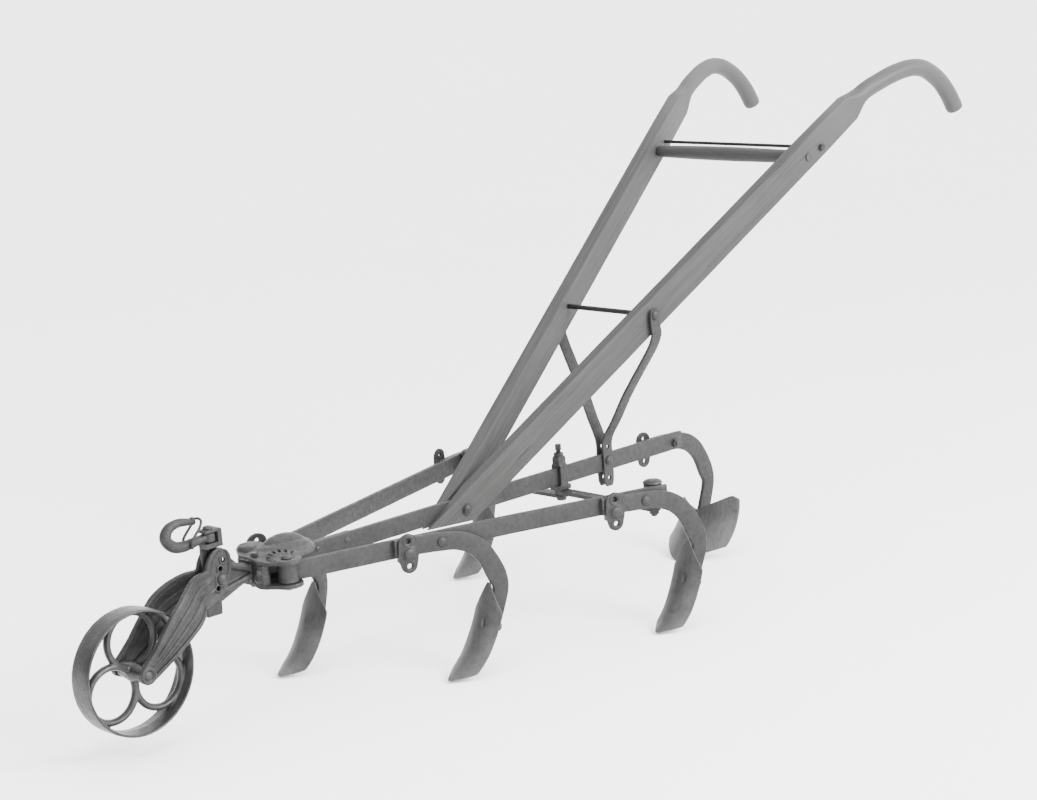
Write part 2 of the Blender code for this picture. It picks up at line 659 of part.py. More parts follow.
def build_draft(root, hook, keeper, cast, steel):
    near = WEB_THICK / 2 + GAP
    low, high = DRAFT_X - DRAFT_WIDTH / 2, DRAFT_X + DRAFT_WIDTH / 2
    outline = [(low, DRAFT_BOTTOM), (high, DRAFT_BOTTOM), (high, CLEVIS_BOTTOM + 0.004),
               (low, CLEVIS_BOTTOM + 0.004)]
    bar = make_piece("draft_bar", slab(outline, [circle(FORK_X, FORK_Z, 0.0056)],
                                       near, near + 0.008, upright), root, cast)
    slot_low, slot_high = HOOK_Z - 0.0095, HOOK_Z + 0.0095
    front, back = CLEVIS_FRONT_X, CLEVIS_BACK_X
    jaw = [(front, CLEVIS_BOTTOM), (back, CLEVIS_BOTTOM), (back, CLEVIS_TOP),
           (front, CLEVIS_TOP), (front, slot_high), (back - 0.004, slot_high),
           (back - 0.004, slot_low), (front, slot_low)]
    combine(bar, slab(jaw, [], -CLEVIS_HALF, CLEVIS_HALF, upright), root, "UNION")
    pin_x = HOOK_PIN_X
    combine(bar, rod((pin_x, 0.0, CLEVIS_BOTTOM - 0.02), (pin_x, 0.0, CLEVIS_TOP + 0.02),
                     0.0056), root, "DIFFERENCE")
    make_piece("hook_pin", turned((pin_x, 0.0, CLEVIS_TOP + GAP + 0.005), -UP,
                                  [(0.0, 0.006), (0.002, 0.009), (0.005, 0.009), (0.005, 0.005),
                                   (0.0405, 0.005)]), root, steel)

    route = [(pin_x - 0.008, HOOK_Z), (-0.803, 0.3437), (-0.833, 0.3410), (-0.855, 0.3462),
             (-0.8685, 0.3625), (-0.861, 0.3785), (-0.842, 0.3845), (-0.824, 0.3830),
             (-0.806, 0.3790)]
    radii = (0.0080, 0.0086, 0.0100, 0.0105, 0.0105, 0.0095, 0.0082, 0.0074, 0.0064)
    curve = smooth_path([Vector((u, radius, v)) for (u, v), radius in zip(route, radii)], 3)
    path = [Vector((point.x, 0.0, point.z)) for point in curve]
    piece = make_piece("draft_hook", tube(path, [point.y for point in curve], 10), hook, cast,
                       smooth=True)
    eye = turned((pin_x, 0.0, HOOK_Z - 0.0080), UP, [(0.0, 0.0110), (0.016, 0.0110)], 16)
    combine(piece, eye, hook, "UNION")
    combine(piece, rod((pin_x, 0.0, HOOK_Z - 0.03), (pin_x, 0.0, HOOK_Z + 0.03), 0.0056),
            hook, "DIFFERENCE")

    leg = 0.0128
    cross = (KEEPER_X + 0.0265, KEEPER_Z + 0.0425)
    corners = [(KEEPER_X, -leg, KEEPER_Z - 0.003), (KEEPER_X + 0.002, -leg, KEEPER_Z + 0.012),
               (cross[0] - 0.007, -leg, cross[1] - 0.012), (cross[0], -leg + 0.004, cross[1]),
               (cross[0], leg - 0.004, cross[1]), (cross[0] - 0.007, leg, cross[1] - 0.012),
               (KEEPER_X + 0.002, leg, KEEPER_Z + 0.012), (KEEPER_X, leg, KEEPER_Z - 0.003)]
    path = smooth_path([Vector(corner) for corner in corners], 2)
    make_piece("hook_keeper", tube(path, [0.002] * len(path), 6), keeper, steel, smooth=True)


# ---- handles and braces -------------------------------------------------------------
def handle_path():
    """Straight plank line from below the foot, then the bent grip."""
    along = HANDLE_HIGH - HANDLE_LOW
    straight = [HANDLE_LOW + along * t for t in (-0.16, -0.06, 0.06, 0.25, 0.45, 0.65, 0.85, 0.95)]
    bent = smooth_path([HANDLE_LOW + along * 0.985] + [Vector(point) for point in GRIP_ROUTE], 2)
    return straight + bent, len(straight)


def build_handle(side, word, root, wood):
    path, plank_count = handle_path()
    rings = []
    for k, (point, tangent) in enumerate(zip(path, tangents(path))):
        blend = min(1.0, max(0.0, (k - plank_count + 1) / 4.0))
        blend = blend * blend * (3.0 - 2.0 * blend)
        thin = UP.cross(tangent).normalized()
        deep = tangent.cross(thin).normalized()
        half_deep = HANDLE_DEPTH / 2 * (1.0 - blend) + GRIP_RADIUS * blend
        half_thin = HANDLE_THICK / 2 * (1.0 - blend) + GRIP_RADIUS * blend
        power = 0.16 + (1.0 - 0.16) * blend
        ring = []
        for j in range(12):
            angle = 2.0 * math.pi * (j + 0.5) / 12
            u, v = math.cos(angle), math.sin(angle)
            offset = thin * math.copysign(abs(u) ** power, u) * half_thin
            offset += deep * math.copysign(abs(v) ** power, v) * half_deep
            spot = point + offset
            ring.append(Vector((spot.x, side * spot.y, spot.z)))
        rings.append(ring)
    bm = loft(rings)
    flank = Vector((0.0, side * (BAR_THICK / 2 + GAP), 0.0))
    foot = Vector((0.0, 0.0, HANDLE_FOOT_Z))
    for point, normal in ((flank, Vector((0.0, side, 0.0))), (foot, UP)):
        everything = bm.verts[:] + bm.edges[:] + bm.faces[:]
        cut = bmesh.ops.bisect_plane(bm, geom=everything, plane_co=point, plane_no=normal,
                                     clear_inner=True)
        edges = [item for item in cut["geom_cut"] if isinstance(item, bmesh.types.BMEdge)]
        bmesh.ops.holes_fill(bm, edges=edges, sides=0)
    handle = make_piece("handle_" + word, bm, root, wood, smooth=True)
    for x, z, radius in ((HANDLE_BOLT_X, BEAM_Z, 0.0056), (CROSSPIECE_X, CROSSPIECE_Z, 0.0096),
                         (CROSS_ROD_X, CROSS_ROD_Z, 0.0040), (TIE_ROD_X, TIE_ROD_Z, 0.0056)):
        combine(handle, rod((x, side * 0.001, z), (x, side * 0.30, z), radius), root,
                "DIFFERENCE")


def handle_face(x, outer):
    """Distance of a plank's inner or outer face from the beam at a station along X."""
    slope = (HANDLE_HIGH.y - HANDLE_LOW.y) / (HANDLE_HIGH.x - HANDLE_LOW.x)
    middle = HANDLE_LOW.y + slope * (x - HANDLE_LOW.x)
    half = HANDLE_THICK / 2 * math.sqrt(1.0 + slope * slope)
    return middle + half if outer else middle - half


def build_handle_links(root, wood, steel, iron):
    slack = 0.0032              # the planks are splayed, so a square shoulder needs room
    out = handle_face(HANDLE_BOLT_X, True) + slack
    make_piece("handle_bolt", bolt_shape((HANDLE_BOLT_X, -out, BEAM_Z),
                                         (HANDLE_BOLT_X, out, BEAM_Z), 0.005,
                                         head=(0.011, 0.005), round_head=True), root, steel)
    inside = handle_face(CROSSPIECE_X, False) - slack
    tenon = handle_face(CROSSPIECE_X, True) + 0.002
    steps = [(-tenon, 0.009), (-inside, 0.009), (-inside, 0.0120), (-0.05, 0.0135),
             (0.05, 0.0130), (inside, 0.0110), (inside, 0.009), (tenon, 0.009)]
    make_piece("crosspiece", turned((CROSSPIECE_X, 0.0, CROSSPIECE_Z), SIDEWAYS, steps, 14),
               root, wood, smooth=True)
    out = handle_face(CROSS_ROD_X, True) + 0.0022
    make_piece("crosspiece_rod", bolt_shape((CROSS_ROD_X, -out, CROSS_ROD_Z),
                                            (CROSS_ROD_X, out, CROSS_ROD_Z), 0.0034,
                                            head=(0.0075, 0.005), nut=(0.0075, 0.005)),
               root, steel)
    out = brace_seat() + BRACE_THICK / 2 + GAP
    make_piece("handle_tie_rod", bolt_shape((TIE_ROD_X, -out, TIE_ROD_Z),
                                            (TIE_ROD_X, out, TIE_ROD_Z), 0.005,
                                            head=(0.0105, 0.006)), root, steel)
    for side, word in ((-1, "left"), (1, "right")):
        build_brace(side, word, root, iron)
    out = BAR_THICK / 2 + BRACE_THICK + 3 * GAP
    make_piece("brace_bolt", bolt_shape((BRACE_X, -out, BEAM_Z + 0.004),
                                        (BRACE_X, out, BEAM_Z + 0.004), 0.005), root, steel)


def brace_seat():
    return handle_face(TIE_ROD_X + BRACE_WIDTH / 2, True) + BRACE_THICK / 2 + GAP


def build_brace(side, word, root, iron):
    """Flat strap from the tie rod's end, in under the handle and down beside the beam."""
    top = brace_seat()
    foot = BAR_THICK / 2 + BRACE_THICK / 2 + 2 * GAP
    route = [(TIE_ROD_X, top, TIE_ROD_Z + 0.012), (TIE_ROD_X, top, TIE_ROD_Z - 0.020),
             (TIE_ROD_X + 0.002, top - 0.001, 0.528), (0.2470, 0.124, 0.500),
             (0.2400, 0.095, 0.455), (0.2330, 0.063, 0.405), (0.2260, 0.033, 0.350),
             (0.2220, 0.0145, 0.320), (BRACE_X, foot, 0.300), (BRACE_X, foot, 0.270),
             (BRACE_X, foot, 0.213)]
    path = smooth_path([Vector(point) for point in route], 2)
    rings = []
    for point, tangent in zip(path, tangents(path)):
        wide = Vector((1.0, 0.0, 0.0))
        wide = (wide - tangent * wide.dot(tangent)).normalized()
        thin = tangent.cross(wide)
        ring = []
        for u, v in ((1, 1), (1, -1), (-1, -1), (-1, 1)):
            spot = point + wide * u * BRACE_WIDTH / 2 + thin * v * BRACE_THICK / 2
            ring.append(Vector((spot.x, side * spot.y, spot.z)))
        rings.append(ring)
    brace = make_piece("brace_" + word, loft(rings), root, iron)
    for x, z, radius in ((TIE_ROD_X, TIE_ROD_Z, 0.0056), (BRACE_X, BEAM_Z + 0.004, 0.0056),
                         (BRACE_X, 0.2945, 0.0042), (BRACE_X, 0.2300, 0.0042)):
        reach = 0.16 if z > 0.5 else 0.05
        combine(brace, rod((x, side * 0.001, z), (x, side * reach, z), radius), root,
                "DIFFERENCE")


# ---- expander -----------------------------------------------------------------------
def build_expander(slide, screw, links, cast, steel, iron):
    half = BAR_HEIGHT / 2
    low, high = LINK_TOP[-1] + 0.0008, 0.304
    window = 0.0005
    ring = [(-EXPANDER_HALF, low), (EXPANDER_HALF, low), (EXPANDER_HALF, high - 0.006),
            (EXPANDER_HALF - 0.005, high), (-EXPANDER_HALF + 0.005, high),
            (-EXPANDER_HALF, high - 0.006)]
    hole = [(-BAR_THICK / 2 - window, BEAM_Z - half - window),
            (BAR_THICK / 2 + window, BEAM_Z - half - window),
            (BAR_THICK / 2 + window, BEAM_Z + half + window),
            (-BAR_THICK / 2 - window, BEAM_Z + half + window)]

    def place(u, v, height):
        return Vector((EXPANDER_X + height, u, v))

    clamp = make_piece("expander_clamp", slab(ring, [hole], -0.0125, 0.0125, place), slide,
                       cast)
    combine(clamp, rod((EXPANDER_X, 0.0, BEAM_Z + half - 0.01), (EXPANDER_X, 0.0, high + 0.01),
                       0.0056), slide, "DIFFERENCE")
    combine(clamp, rod((EXPANDER_X, 0.0, low - 0.01), (EXPANDER_X, 0.0, BEAM_Z - half + 0.005),
                       0.0056), slide, "DIFFERENCE")
    tip = BEAM_Z + half + 0.0008
    make_piece("set_screw", turned((EXPANDER_X, 0.0, tip), UP,
                                   [(0.0, 0.0035), (0.002, 0.005), (0.036, 0.005),
                                    (0.036, 0.0085, "hex"), (0.046, 0.0085, "hex")]),
               screw, steel)
    bottom = LINK_TOP[1] - LINK_THICK
    make_piece("expander_pin", turned((EXPANDER_X, 0.0, bottom - GAP - 0.007), UP,
                                      [(0.0, 0.008), (0.002, 0.010), (0.007, 0.010),
                                       (0.007, 0.005), (0.0305, 0.005)]), slide, steel)
    for side, word in ((-1, "left"), (1, "right")):
        build_link(side, word, links[side], iron)


def build_link(side, word, body, iron):
    """Flat link from the clamp's pin to below the side bar's end pin."""
    inner = Vector((EXPANDER_X, 0.0))
    pin = side_point(side, END_PIN_S, -END_PIN_INSET, 0.0)
    outer = Vector((pin.x, pin.y))
    along = (outer - inner).normalized()
    turn = math.degrees(math.atan2(along.y, along.x))
    outline = arc(inner.x, inner.y, LINK_WIDTH / 2, turn + 90.0, turn + 270.0, 8)
    outline += arc(outer.x, outer.y, LINK_WIDTH / 2, turn - 90.0, turn + 90.0, 8)
    top = LINK_TOP[side]
    link = make_piece("link_" + word, slab(outline, [circle(inner.x, inner.y, 0.0056)],
                                           top - LINK_THICK, top, level), body, iron)
    nut = [(0.0, 0.010, "hex"), (0.009, 0.010, "hex"), (0.009, 0.006), (0.013, 0.006)]
    start = Vector((outer.x, outer.y, top - LINK_THICK + 0.002))
    combine(link, turned(start, -UP, nut), body, "UNION")


# ---- assembly -----------------------------------------------------------------------
def build_machine():
    clear_scene()
    iron = (IRON, 0.62, 0.85)
    cast = (CAST, 0.70, 0.75)
    steel = (STEEL, 0.50, 0.90)
    wood = (WOOD, 0.65, 0.0)
    finishes = (iron, steel, cast)

    root = make_body("frame", (0.0, 0.0, 0.0))
    wings = {side: make_body("wing_" + word, (PIVOT_X, side * PIVOT_Y, BEAM_Z), root)
             for side, word in ((-1, "left"), (1, "right"))}
    slide = make_body("expander", (EXPANDER_X, 0.0, BEAM_Z), root)
    screw = make_body("screw", (EXPANDER_X, 0.0, BEAM_Z), slide)
    links = {side: make_body("link_pivot_" + word, (EXPANDER_X, 0.0, BEAM_Z), slide)
             for side, word in ((-1, "left"), (1, "right"))}
    fork = make_body("fork", (FORK_X, 0.0, FORK_Z), root)
    wheel = make_body("wheel_hub", (WHEEL_X, 0.0, WHEEL_Z), fork)
    hook = make_body("hook", (HOOK_PIN_X, 0.0, HOOK_Z), root)
    keeper = make_body("keeper", (KEEPER_X, 0.0, KEEPER_Z), hook)

    build_head(root, cast, steel)
    build_neck(root, cast)
    build_beam(root, iron)
    for side, word in ((-1, "left"), (1, "right")):
        stations = SIDE_STATIONS[side]
        build_side_bar(side, word, wings[side], iron, steel, stations)
        build_handle(side, word, root, wood)
        for end, station in zip(("_front", "_rear"), stations):
            build_tool(word + end, side, station, side_point, CLAMP_DROP[side], wings[side],
                       finishes, add_tooth)
    build_tool("centre_rear", 1, REAR_TOOL_S, beam_point, BEAM_CLAMP_DROP, root, finishes,
               add_shovel)
    build_fork(fork, cast, steel)
    build_wheel(wheel, cast)
    build_draft(root, hook, keeper, cast, steel)
    build_handle_links(root, wood, steel, iron)
    build_expander(slide, screw, links, cast, steel, iron)


build_machine()
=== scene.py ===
"""Looks of the five-tooth expanding cultivator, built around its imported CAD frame.

World frame, metres: +X from the wheel to the handles, +Y to the machine's right, +Z up.
The left side is nearer the camera. (u, v) are a plane's own two axes, and height is the third.
"""

import json
import math

import bmesh
import bpy
from mathutils import Matrix, Vector, noise
from mathutils.geometry import tessellate_polygon

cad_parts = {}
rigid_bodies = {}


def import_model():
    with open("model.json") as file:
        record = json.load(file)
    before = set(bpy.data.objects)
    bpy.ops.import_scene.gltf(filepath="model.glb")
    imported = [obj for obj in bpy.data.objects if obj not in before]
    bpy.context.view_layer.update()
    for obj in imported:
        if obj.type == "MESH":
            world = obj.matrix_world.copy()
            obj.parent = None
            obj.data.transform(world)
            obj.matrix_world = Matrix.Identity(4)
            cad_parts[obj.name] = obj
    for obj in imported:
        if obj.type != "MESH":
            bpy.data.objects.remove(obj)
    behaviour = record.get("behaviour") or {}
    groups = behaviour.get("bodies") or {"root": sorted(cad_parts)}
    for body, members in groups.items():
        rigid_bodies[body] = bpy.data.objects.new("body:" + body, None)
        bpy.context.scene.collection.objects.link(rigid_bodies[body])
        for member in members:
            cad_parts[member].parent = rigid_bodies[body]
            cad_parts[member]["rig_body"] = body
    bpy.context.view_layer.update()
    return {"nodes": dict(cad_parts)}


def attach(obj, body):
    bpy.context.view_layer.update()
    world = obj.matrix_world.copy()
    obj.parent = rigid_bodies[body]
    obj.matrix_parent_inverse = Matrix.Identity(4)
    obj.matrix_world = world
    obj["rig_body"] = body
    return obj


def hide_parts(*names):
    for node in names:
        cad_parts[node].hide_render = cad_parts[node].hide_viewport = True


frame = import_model()

# ---- dimensions, nearly all as in the machine's CAD -----------------------------------
GAP = 0.0003
PIN_RADIUS = 0.005          # most bolts and pins
PIN_BORE = 0.0056
NUT = (0.009, 0.008)        # radius and height
BEAM_Z = 0.262
BAR_HEIGHT = 0.0355         # the flat stock of the beam and the side bars
BAR_THICK = 0.01
BEAM_FRONT_X = -0.652
BEAM_REAR_X = 0.448
PIVOT_X = -0.6495
PIVOT_Y = 0.0505
SIDE_ANGLE = math.radians(17.1)
SIDE_LENGTH = 0.782         # along a side bar, from its pivot
HUB_RADIUS = 0.019
END_PIN_S = 0.7644
END_PIN_INSET = 0.0201
END_BOSS_RADIUS = 0.018
PLATE_THICK = 0.009
LOBE_RADIUS = 0.027
HEAD_BOLT_X = -0.682
FORK_X = -0.766
FORK_Z = 0.2675
WEB_THICK = 0.008
TANG_THICK = 0.0062
ARM_THICK = 0.008
ARM_SPREAD = 0.04
ARM_SEAT = {"left": 0.0085, "right": 0.0169}
WHEEL_X = -0.9625
WHEEL_Z = 0.15
WHEEL_RADIUS = 0.112
WHEEL_WIDTH = 0.05
RIM_THICK = 0.006
AXLE_RADIUS = 0.007
# (x, z) along a fork arm, and half its depth there; the flanges are deeper than in the CAD
ARM_PATH = ((-0.759, 0.3208), (-0.762, 0.3118), (-0.768, 0.2935), (-0.7745, 0.2725),
            (-0.7935, 0.2585), (-0.825, 0.252), (-0.861, 0.2315), (-0.892, 0.205),
            (-0.928, 0.1745), (-0.9625, 0.15), (-0.971, 0.1455), (-0.9765, 0.1425))
ARM_HALF = (0.011, 0.0205, 0.027, 0.0285, 0.0315, 0.034, 0.033, 0.029, 0.0215, 0.0155,
            0.011, 0.0035)
DRAFT_X = -0.775
DRAFT_WIDTH = 0.034
DRAFT_BOTTOM = 0.199
CLEVIS_BOTTOM = 0.3265
CLEVIS_TOP = 0.36
CLEVIS_FRONT_X = -0.789
CLEVIS_BACK_X = -0.761
CLEVIS_HALF = 0.0105
HOOK_PIN_X = -0.778
HOOK_Z = 0.345
KEEPER_X = -0.823
KEEPER_Z = 0.339
KEEPER_LEG = 0.0128
HANDLE_LOW = Vector((-0.173, 0.019, 0.2734))
HANDLE_HIGH = Vector((0.771, 0.2377, 0.9288))
HANDLE_DEPTH = 0.057
HANDLE_THICK = 0.028
HANDLE_FOOT_Z = 0.238
HANDLE_BOLT_X = -0.19
GRIP_RADIUS = 0.018
GRIP_ROUTE = ((0.8, 0.245, 0.949), (0.8435, 0.257, 0.9675), (0.884, 0.267, 0.98),
              (0.925, 0.2755, 0.985), (0.964, 0.2785, 0.977), (1.0055, 0.28, 0.952),
              (1.036, 0.2808, 0.9205), (1.0592, 0.2812, 0.885))
CROSSPIECE_X = 0.642
CROSSPIECE_Z = 0.8335
CROSS_ROD_X = 0.672
CROSS_ROD_Z = 0.85
TIE_ROD_X = 0.249
TIE_ROD_Z = 0.57
BRACE_X = 0.221
BRACE_WIDTH = 0.027         # a little more than in the CAD
BRACE_THICK = 0.005
EXPANDER_X = 0.091
EXPANDER_HALF = 0.013
LINK_THICK = 0.007
LINK_WIDTH = 0.026
# the sides are -1 for the left and 1 for the right
LINK_TOP = {-1: 0.2335, 1: 0.2255}
SIDE_STATIONS = {-1: (0.2982, 0.7285), 1: (0.114, 0.773)}
REAR_TOOL_S = 0.424
CLAMP_DROP = {-1: -0.011, 1: 0.002}
BEAM_CLAMP_DROP = -0.006
CLAMP_HALF_HEIGHT = 0.0375
CLAMP_HALF_WIDTH = 0.0236
EAR_OFFSET = 0.0235
EAR_TWIST = 0.42
TWISTED_CLAMP = "right_front"
TOOL_SPACING = 0.07
# a tool is drawn in (along, up) from its bolt through the bar
STANDARD_PATH = ((-0.094, 0.0), (-0.04, -0.001), (0.0, -0.003), (0.032, -0.007),
                 (0.064, -0.021), (0.088, -0.046), (0.1025, -0.082), (0.11, -0.112),
                 (0.0985, -0.15), (0.0866, -0.18), (0.073, -0.206))
STANDARD_HALF = (0.0168, 0.0172, 0.0174, 0.0176, 0.018, 0.018, 0.016, 0.0122,
                 0.012, 0.0118, 0.0113)
TOOTH_PROFILE = ((0.083, -0.098), (0.0755, -0.13), (0.067, -0.16), (0.051, -0.194),
                 (0.033, -0.2215), (0.008, -0.244), (-0.018, -0.2562))
TOOTH_BOLT_AT = (0.0635, -0.1705)
STANDARD_THICK = 0.01
STANDARD_SHIFT = 0.003      # the drawn standards reach further back low down
STANDARD_GROWTH = 0.0034
TOOTH_WIDTH = 0.066
TIP_LEAD = {"left_front": 0.013}
TOOTH_THICK = 0.006
TOOTH_CROWN = 0.01
SHOVEL_HALF_SPAN = 0.08

HEAD_DROOP = 0.005          # the left hinge sits a little lower than the right one
TONE = 0.15                 # the studio is bright, so every surface is darker than it looks
UP = Vector((0.0, 0.0, 1.0))
SIDEWAYS = Vector((0.0, 1.0, 0.0))
SIDES = ((-1, "left"), (1, "right"))
# the camera was solved from the outlines of the bars, the handles and the wheel
CAMERA_PLACE = Vector((-3.2907, -3.4763, 1.4548))
CAMERA_YAW = 0.7569
CAMERA_PITCH = 0.2099
CAMERA_ROLL = -0.0742
CAMERA_LENS = 86.95


# ---- materials ----------------------------------------------------------------------
def grey(value, warmth):
    value *= TONE
    return (value * (1.0 + warmth), value, value * (1.0 - warmth), 1.0)


class Graph:
    """Adds and links the shader nodes of one material."""

    def __init__(self, name):
        self.material = bpy.data.materials.new(name)
        self.material.use_nodes = True
        self.nodes = self.material.node_tree.nodes
        self.links = self.material.node_tree.links
        self.shader = self.nodes["Principled BSDF"]

    def feed(self, node, values):
        """Give each input a fixed value or another node's output."""
        for key, value in values.items():
            if hasattr(value, "is_output"):
                self.links.new(value, node.inputs[key])
            else:
                node.inputs[key].default_value = value
        return node

    def add(self, kind, values=None, **settings):
        node = self.nodes.new(kind)
        for key, value in settings.items():
            setattr(node, key, value)
        return self.feed(node, values or {})

    def place(self):
        return self.add("ShaderNodeTexCoord").outputs["Object"]

    def stretched(self, vector, scale):
        return self.add("ShaderNodeMapping", {"Vector": vector, "Scale": scale}).outputs["Vector"]

    def noise(self, vector, scale, detail, rough=0.6, distortion=0.0):
        values = {"Vector": vector, "Scale": scale, "Detail": detail, "Roughness": rough,
                  "Distortion": distortion}
        return self.add("ShaderNodeTexNoise", values).outputs["Fac"]

    def span(self, value, low, high, out_low=0.0, out_high=1.0):
        values = {"Value": value, "From Min": low, "From Max": high, "To Min": out_low,
                  "To Max": out_high}
        return self.add("ShaderNodeMapRange", values).outputs["Result"]

    def mix(self, factor, first, second):
        values = {0: factor, 6: first, 7: second}
        return self.add("ShaderNodeMix", values, data_type="RGBA").outputs[2]

    def layer(self, under, source, low, high, amount, shade):
        """Lay a shade over a colour where the source rises from low to high."""
        return self.mix(self.span(source, low, high, 0.0, amount), under, shade)

    def bump(self, height, strength, distance, below=None):
        values = {"Height": height, "Strength": strength, "Distance": distance}
        if below is not None:
            values["Normal"] = below
        return self.add("ShaderNodeBump", values).outputs["Normal"]

    def sum(self, first, second):
        return self.add("ShaderNodeMath", {0: first, 1: second}, operation="ADD").outputs[0]

    def product(self, first, second):
        return self.add("ShaderNodeMath", {0: first, 1: second}, operation="MULTIPLY").outputs[0]

    def out(self, colour, roughness, metallic, normal, gloss=0.5):
        self.feed(self.shader, {"Base Color": colour, "Roughness": roughness, "Metallic": metallic,
                                "Normal": normal, "Specular IOR Level": gloss})
        return self.material


def metal_finish(name, dark, light, rough, metallic, pits, grain, polish=0.0):
    """Old iron: cloudy oxide, fine mottling, pits, rubbed edges made lighter as wear and as a painted
    highlight, and painted shade in hollows.
    """
    g = Graph(name)
    warmth = 0.008
    where = g.place()
    clouds = g.noise(where, 14.0, 8.0, 0.62, 0.4)
    mottle = g.noise(where, 120.0, 6.0, 0.65)
    specks = g.noise(where, 520.0, 3.0)
    colour = g.mix(g.span(clouds, 0.26, 0.74), grey(dark, warmth * 1.6), grey(light, warmth * 0.5))
    colour = g.layer(colour, mottle, 0.44, 0.7, 0.4, grey(dark * 0.66, warmth * 2.0))
    colour = g.layer(colour, specks, 0.6, 0.72, 0.5, grey(light * 1.35, warmth))
    point = g.add("ShaderNodeNewGeometry").outputs["Pointiness"]
    # painted highlight and wear: edges and corners are made lighter in colour, as rubbed bare metal
    # and as a painted edge highlight
    wear_and_highlight = g.product(g.span(point, 0.52, 0.6), g.span(mottle, 0.3, 0.6, 1.0, 0.3))
    colour = g.mix(g.product(wear_and_highlight, 0.75), colour, grey(light * 1.9, warmth * 0.4))
    # painted shade: hollows and inner corners are darkened in colour, standing in for the shade that
    # falls there
    colour = g.layer(colour, point, 0.485, 0.42, 0.8, grey(dark * 0.35, warmth * 2.0))
    roughness = g.sum(g.span(mottle, 0.3, 0.7, rough - 0.1, rough + 0.14),
                      g.product(wear_and_highlight, -0.14 - polish))
    pit = g.add("ShaderNodeTexVoronoi", {"Vector": where, "Scale": grain}).outputs["Distance"]
    normal = g.bump(g.sum(g.span(pit, 0.0, 0.35), mottle), pits, 0.0006)
    normal = g.bump(clouds, 0.35, 0.004, normal)
    return g.out(colour, roughness, metallic, normal, 0.22)


def blade_finish(name):
    """Steel scoured by soil and streaked down its length; bright towards the point, partly as scoured
    wear and partly as a painted highlight.
    """
    g = Graph(name)
    where = g.place()
    height = g.add("ShaderNodeSeparateXYZ", {"Vector": where}).outputs["Z"]
    streak = g.noise(g.stretched(where, (40.0, 190.0, 26.0)), 1.0, 7.0, 0.65)
    clouds = g.noise(where, 22.0, 8.0, 0.6, 0.6)
    mottle = g.noise(where, 160.0, 5.0)
    colour = g.mix(g.span(clouds, 0.33, 0.68), grey(0.15, 0.01), grey(0.33, 0.006))
    colour = g.layer(colour, streak, 0.35, 0.7, 0.45, grey(0.42, 0.004))
    # lighter low down towards the point: scoured wear, and partly a painted highlight on the lower
    # blade
    low = g.span(height, 0.1, 0.005)
    wear_and_highlight = g.product(low, g.span(clouds, 0.25, 0.62, 0.45, 1.0))
    colour = g.mix(g.product(wear_and_highlight, 0.62), colour, grey(0.62, 0.004))
    colour = g.layer(colour, mottle, 0.56, 0.72, 0.55, grey(0.11, 0.01))
    roughness = g.sum(g.span(streak, 0.3, 0.7, 0.42, 0.6), g.product(wear_and_highlight, -0.12))
    normal = g.bump(g.sum(streak, mottle), 0.3, 0.0005)
    normal = g.bump(clouds, 0.3, 0.004, normal)
    return g.out(colour, roughness, 0.62, normal, 0.35)


def wood_finish(name):
    """Weathered ash: long grain along the handle, cracks, dirt and smooth hand polish."""
    g = Graph(name)
    where = g.add("ShaderNodeAttribute", attribute_name="grain").outputs["Vector"]
    long = g.stretched(where, (3.2, 110.0, 110.0))
    fibre = g.stretched(where, (14.0, 620.0, 620.0))
    broad = g.noise(long, 1.0, 6.0, 0.55, 0.8)
    fine = g.noise(fibre, 1.0, 5.0)
    bands = {"Vector": long, "Scale": 0.16, "Distortion": 9.0, "Detail": 4.0, "Detail Scale": 0.7}
    rings = g.add("ShaderNodeTexWave", bands, bands_direction="Y").outputs["Fac"]
    stains = g.noise(where, 7.0, 5.0)
    crack = g.noise(g.stretched(where, (5.0, 420.0, 420.0)), 1.0, 2.0, 0.5, 0.3)
    colour = g.mix(g.span(broad, 0.3, 0.7), grey(0.165, 0.012), grey(0.265, 0.01))
    colour = g.layer(colour, rings, 0.2, 0.9, 0.3, grey(0.135, 0.012))
    colour = g.layer(colour, fine, 0.42, 0.7, 0.45, grey(0.125, 0.012))
    colour = g.layer(colour, stains, 0.42, 0.7, 0.55, grey(0.135, 0.012))
    split = g.span(crack, 0.66, 0.7)
    colour = g.mix(split, colour, grey(0.045, 0.012))
    along = g.add("ShaderNodeSeparateXYZ", {"Vector": where}).outputs["X"]
    hand = g.span(along, 1.15, 1.3)
    colour = g.mix(g.product(hand, 0.45), colour, grey(0.34, 0.012))
    roughness = g.sum(g.span(fine, 0.3, 0.7, 0.55, 0.74), g.product(hand, -0.16))
    height = g.sum(g.product(fine, 0.6), g.product(split, -1.4))
    normal = g.bump(height, 0.45, 0.0007)
    normal = g.bump(broad, 0.25, 0.0016, normal)
    return g.out(colour, roughness, 0.0, normal, 0.25)


def floor_finish(name):
    """Pale matt paper, very slightly clouded."""
    g = Graph(name)
    soft = g.noise(g.place(), 1.3, 3.0, 0.5)
    colour = g.mix(soft, (0.88, 0.88, 0.88, 1.0), (0.91, 0.91, 0.91, 1.0))
    return g.out(colour, 0.9, 0.0, g.bump(soft, 0.02, 0.01))


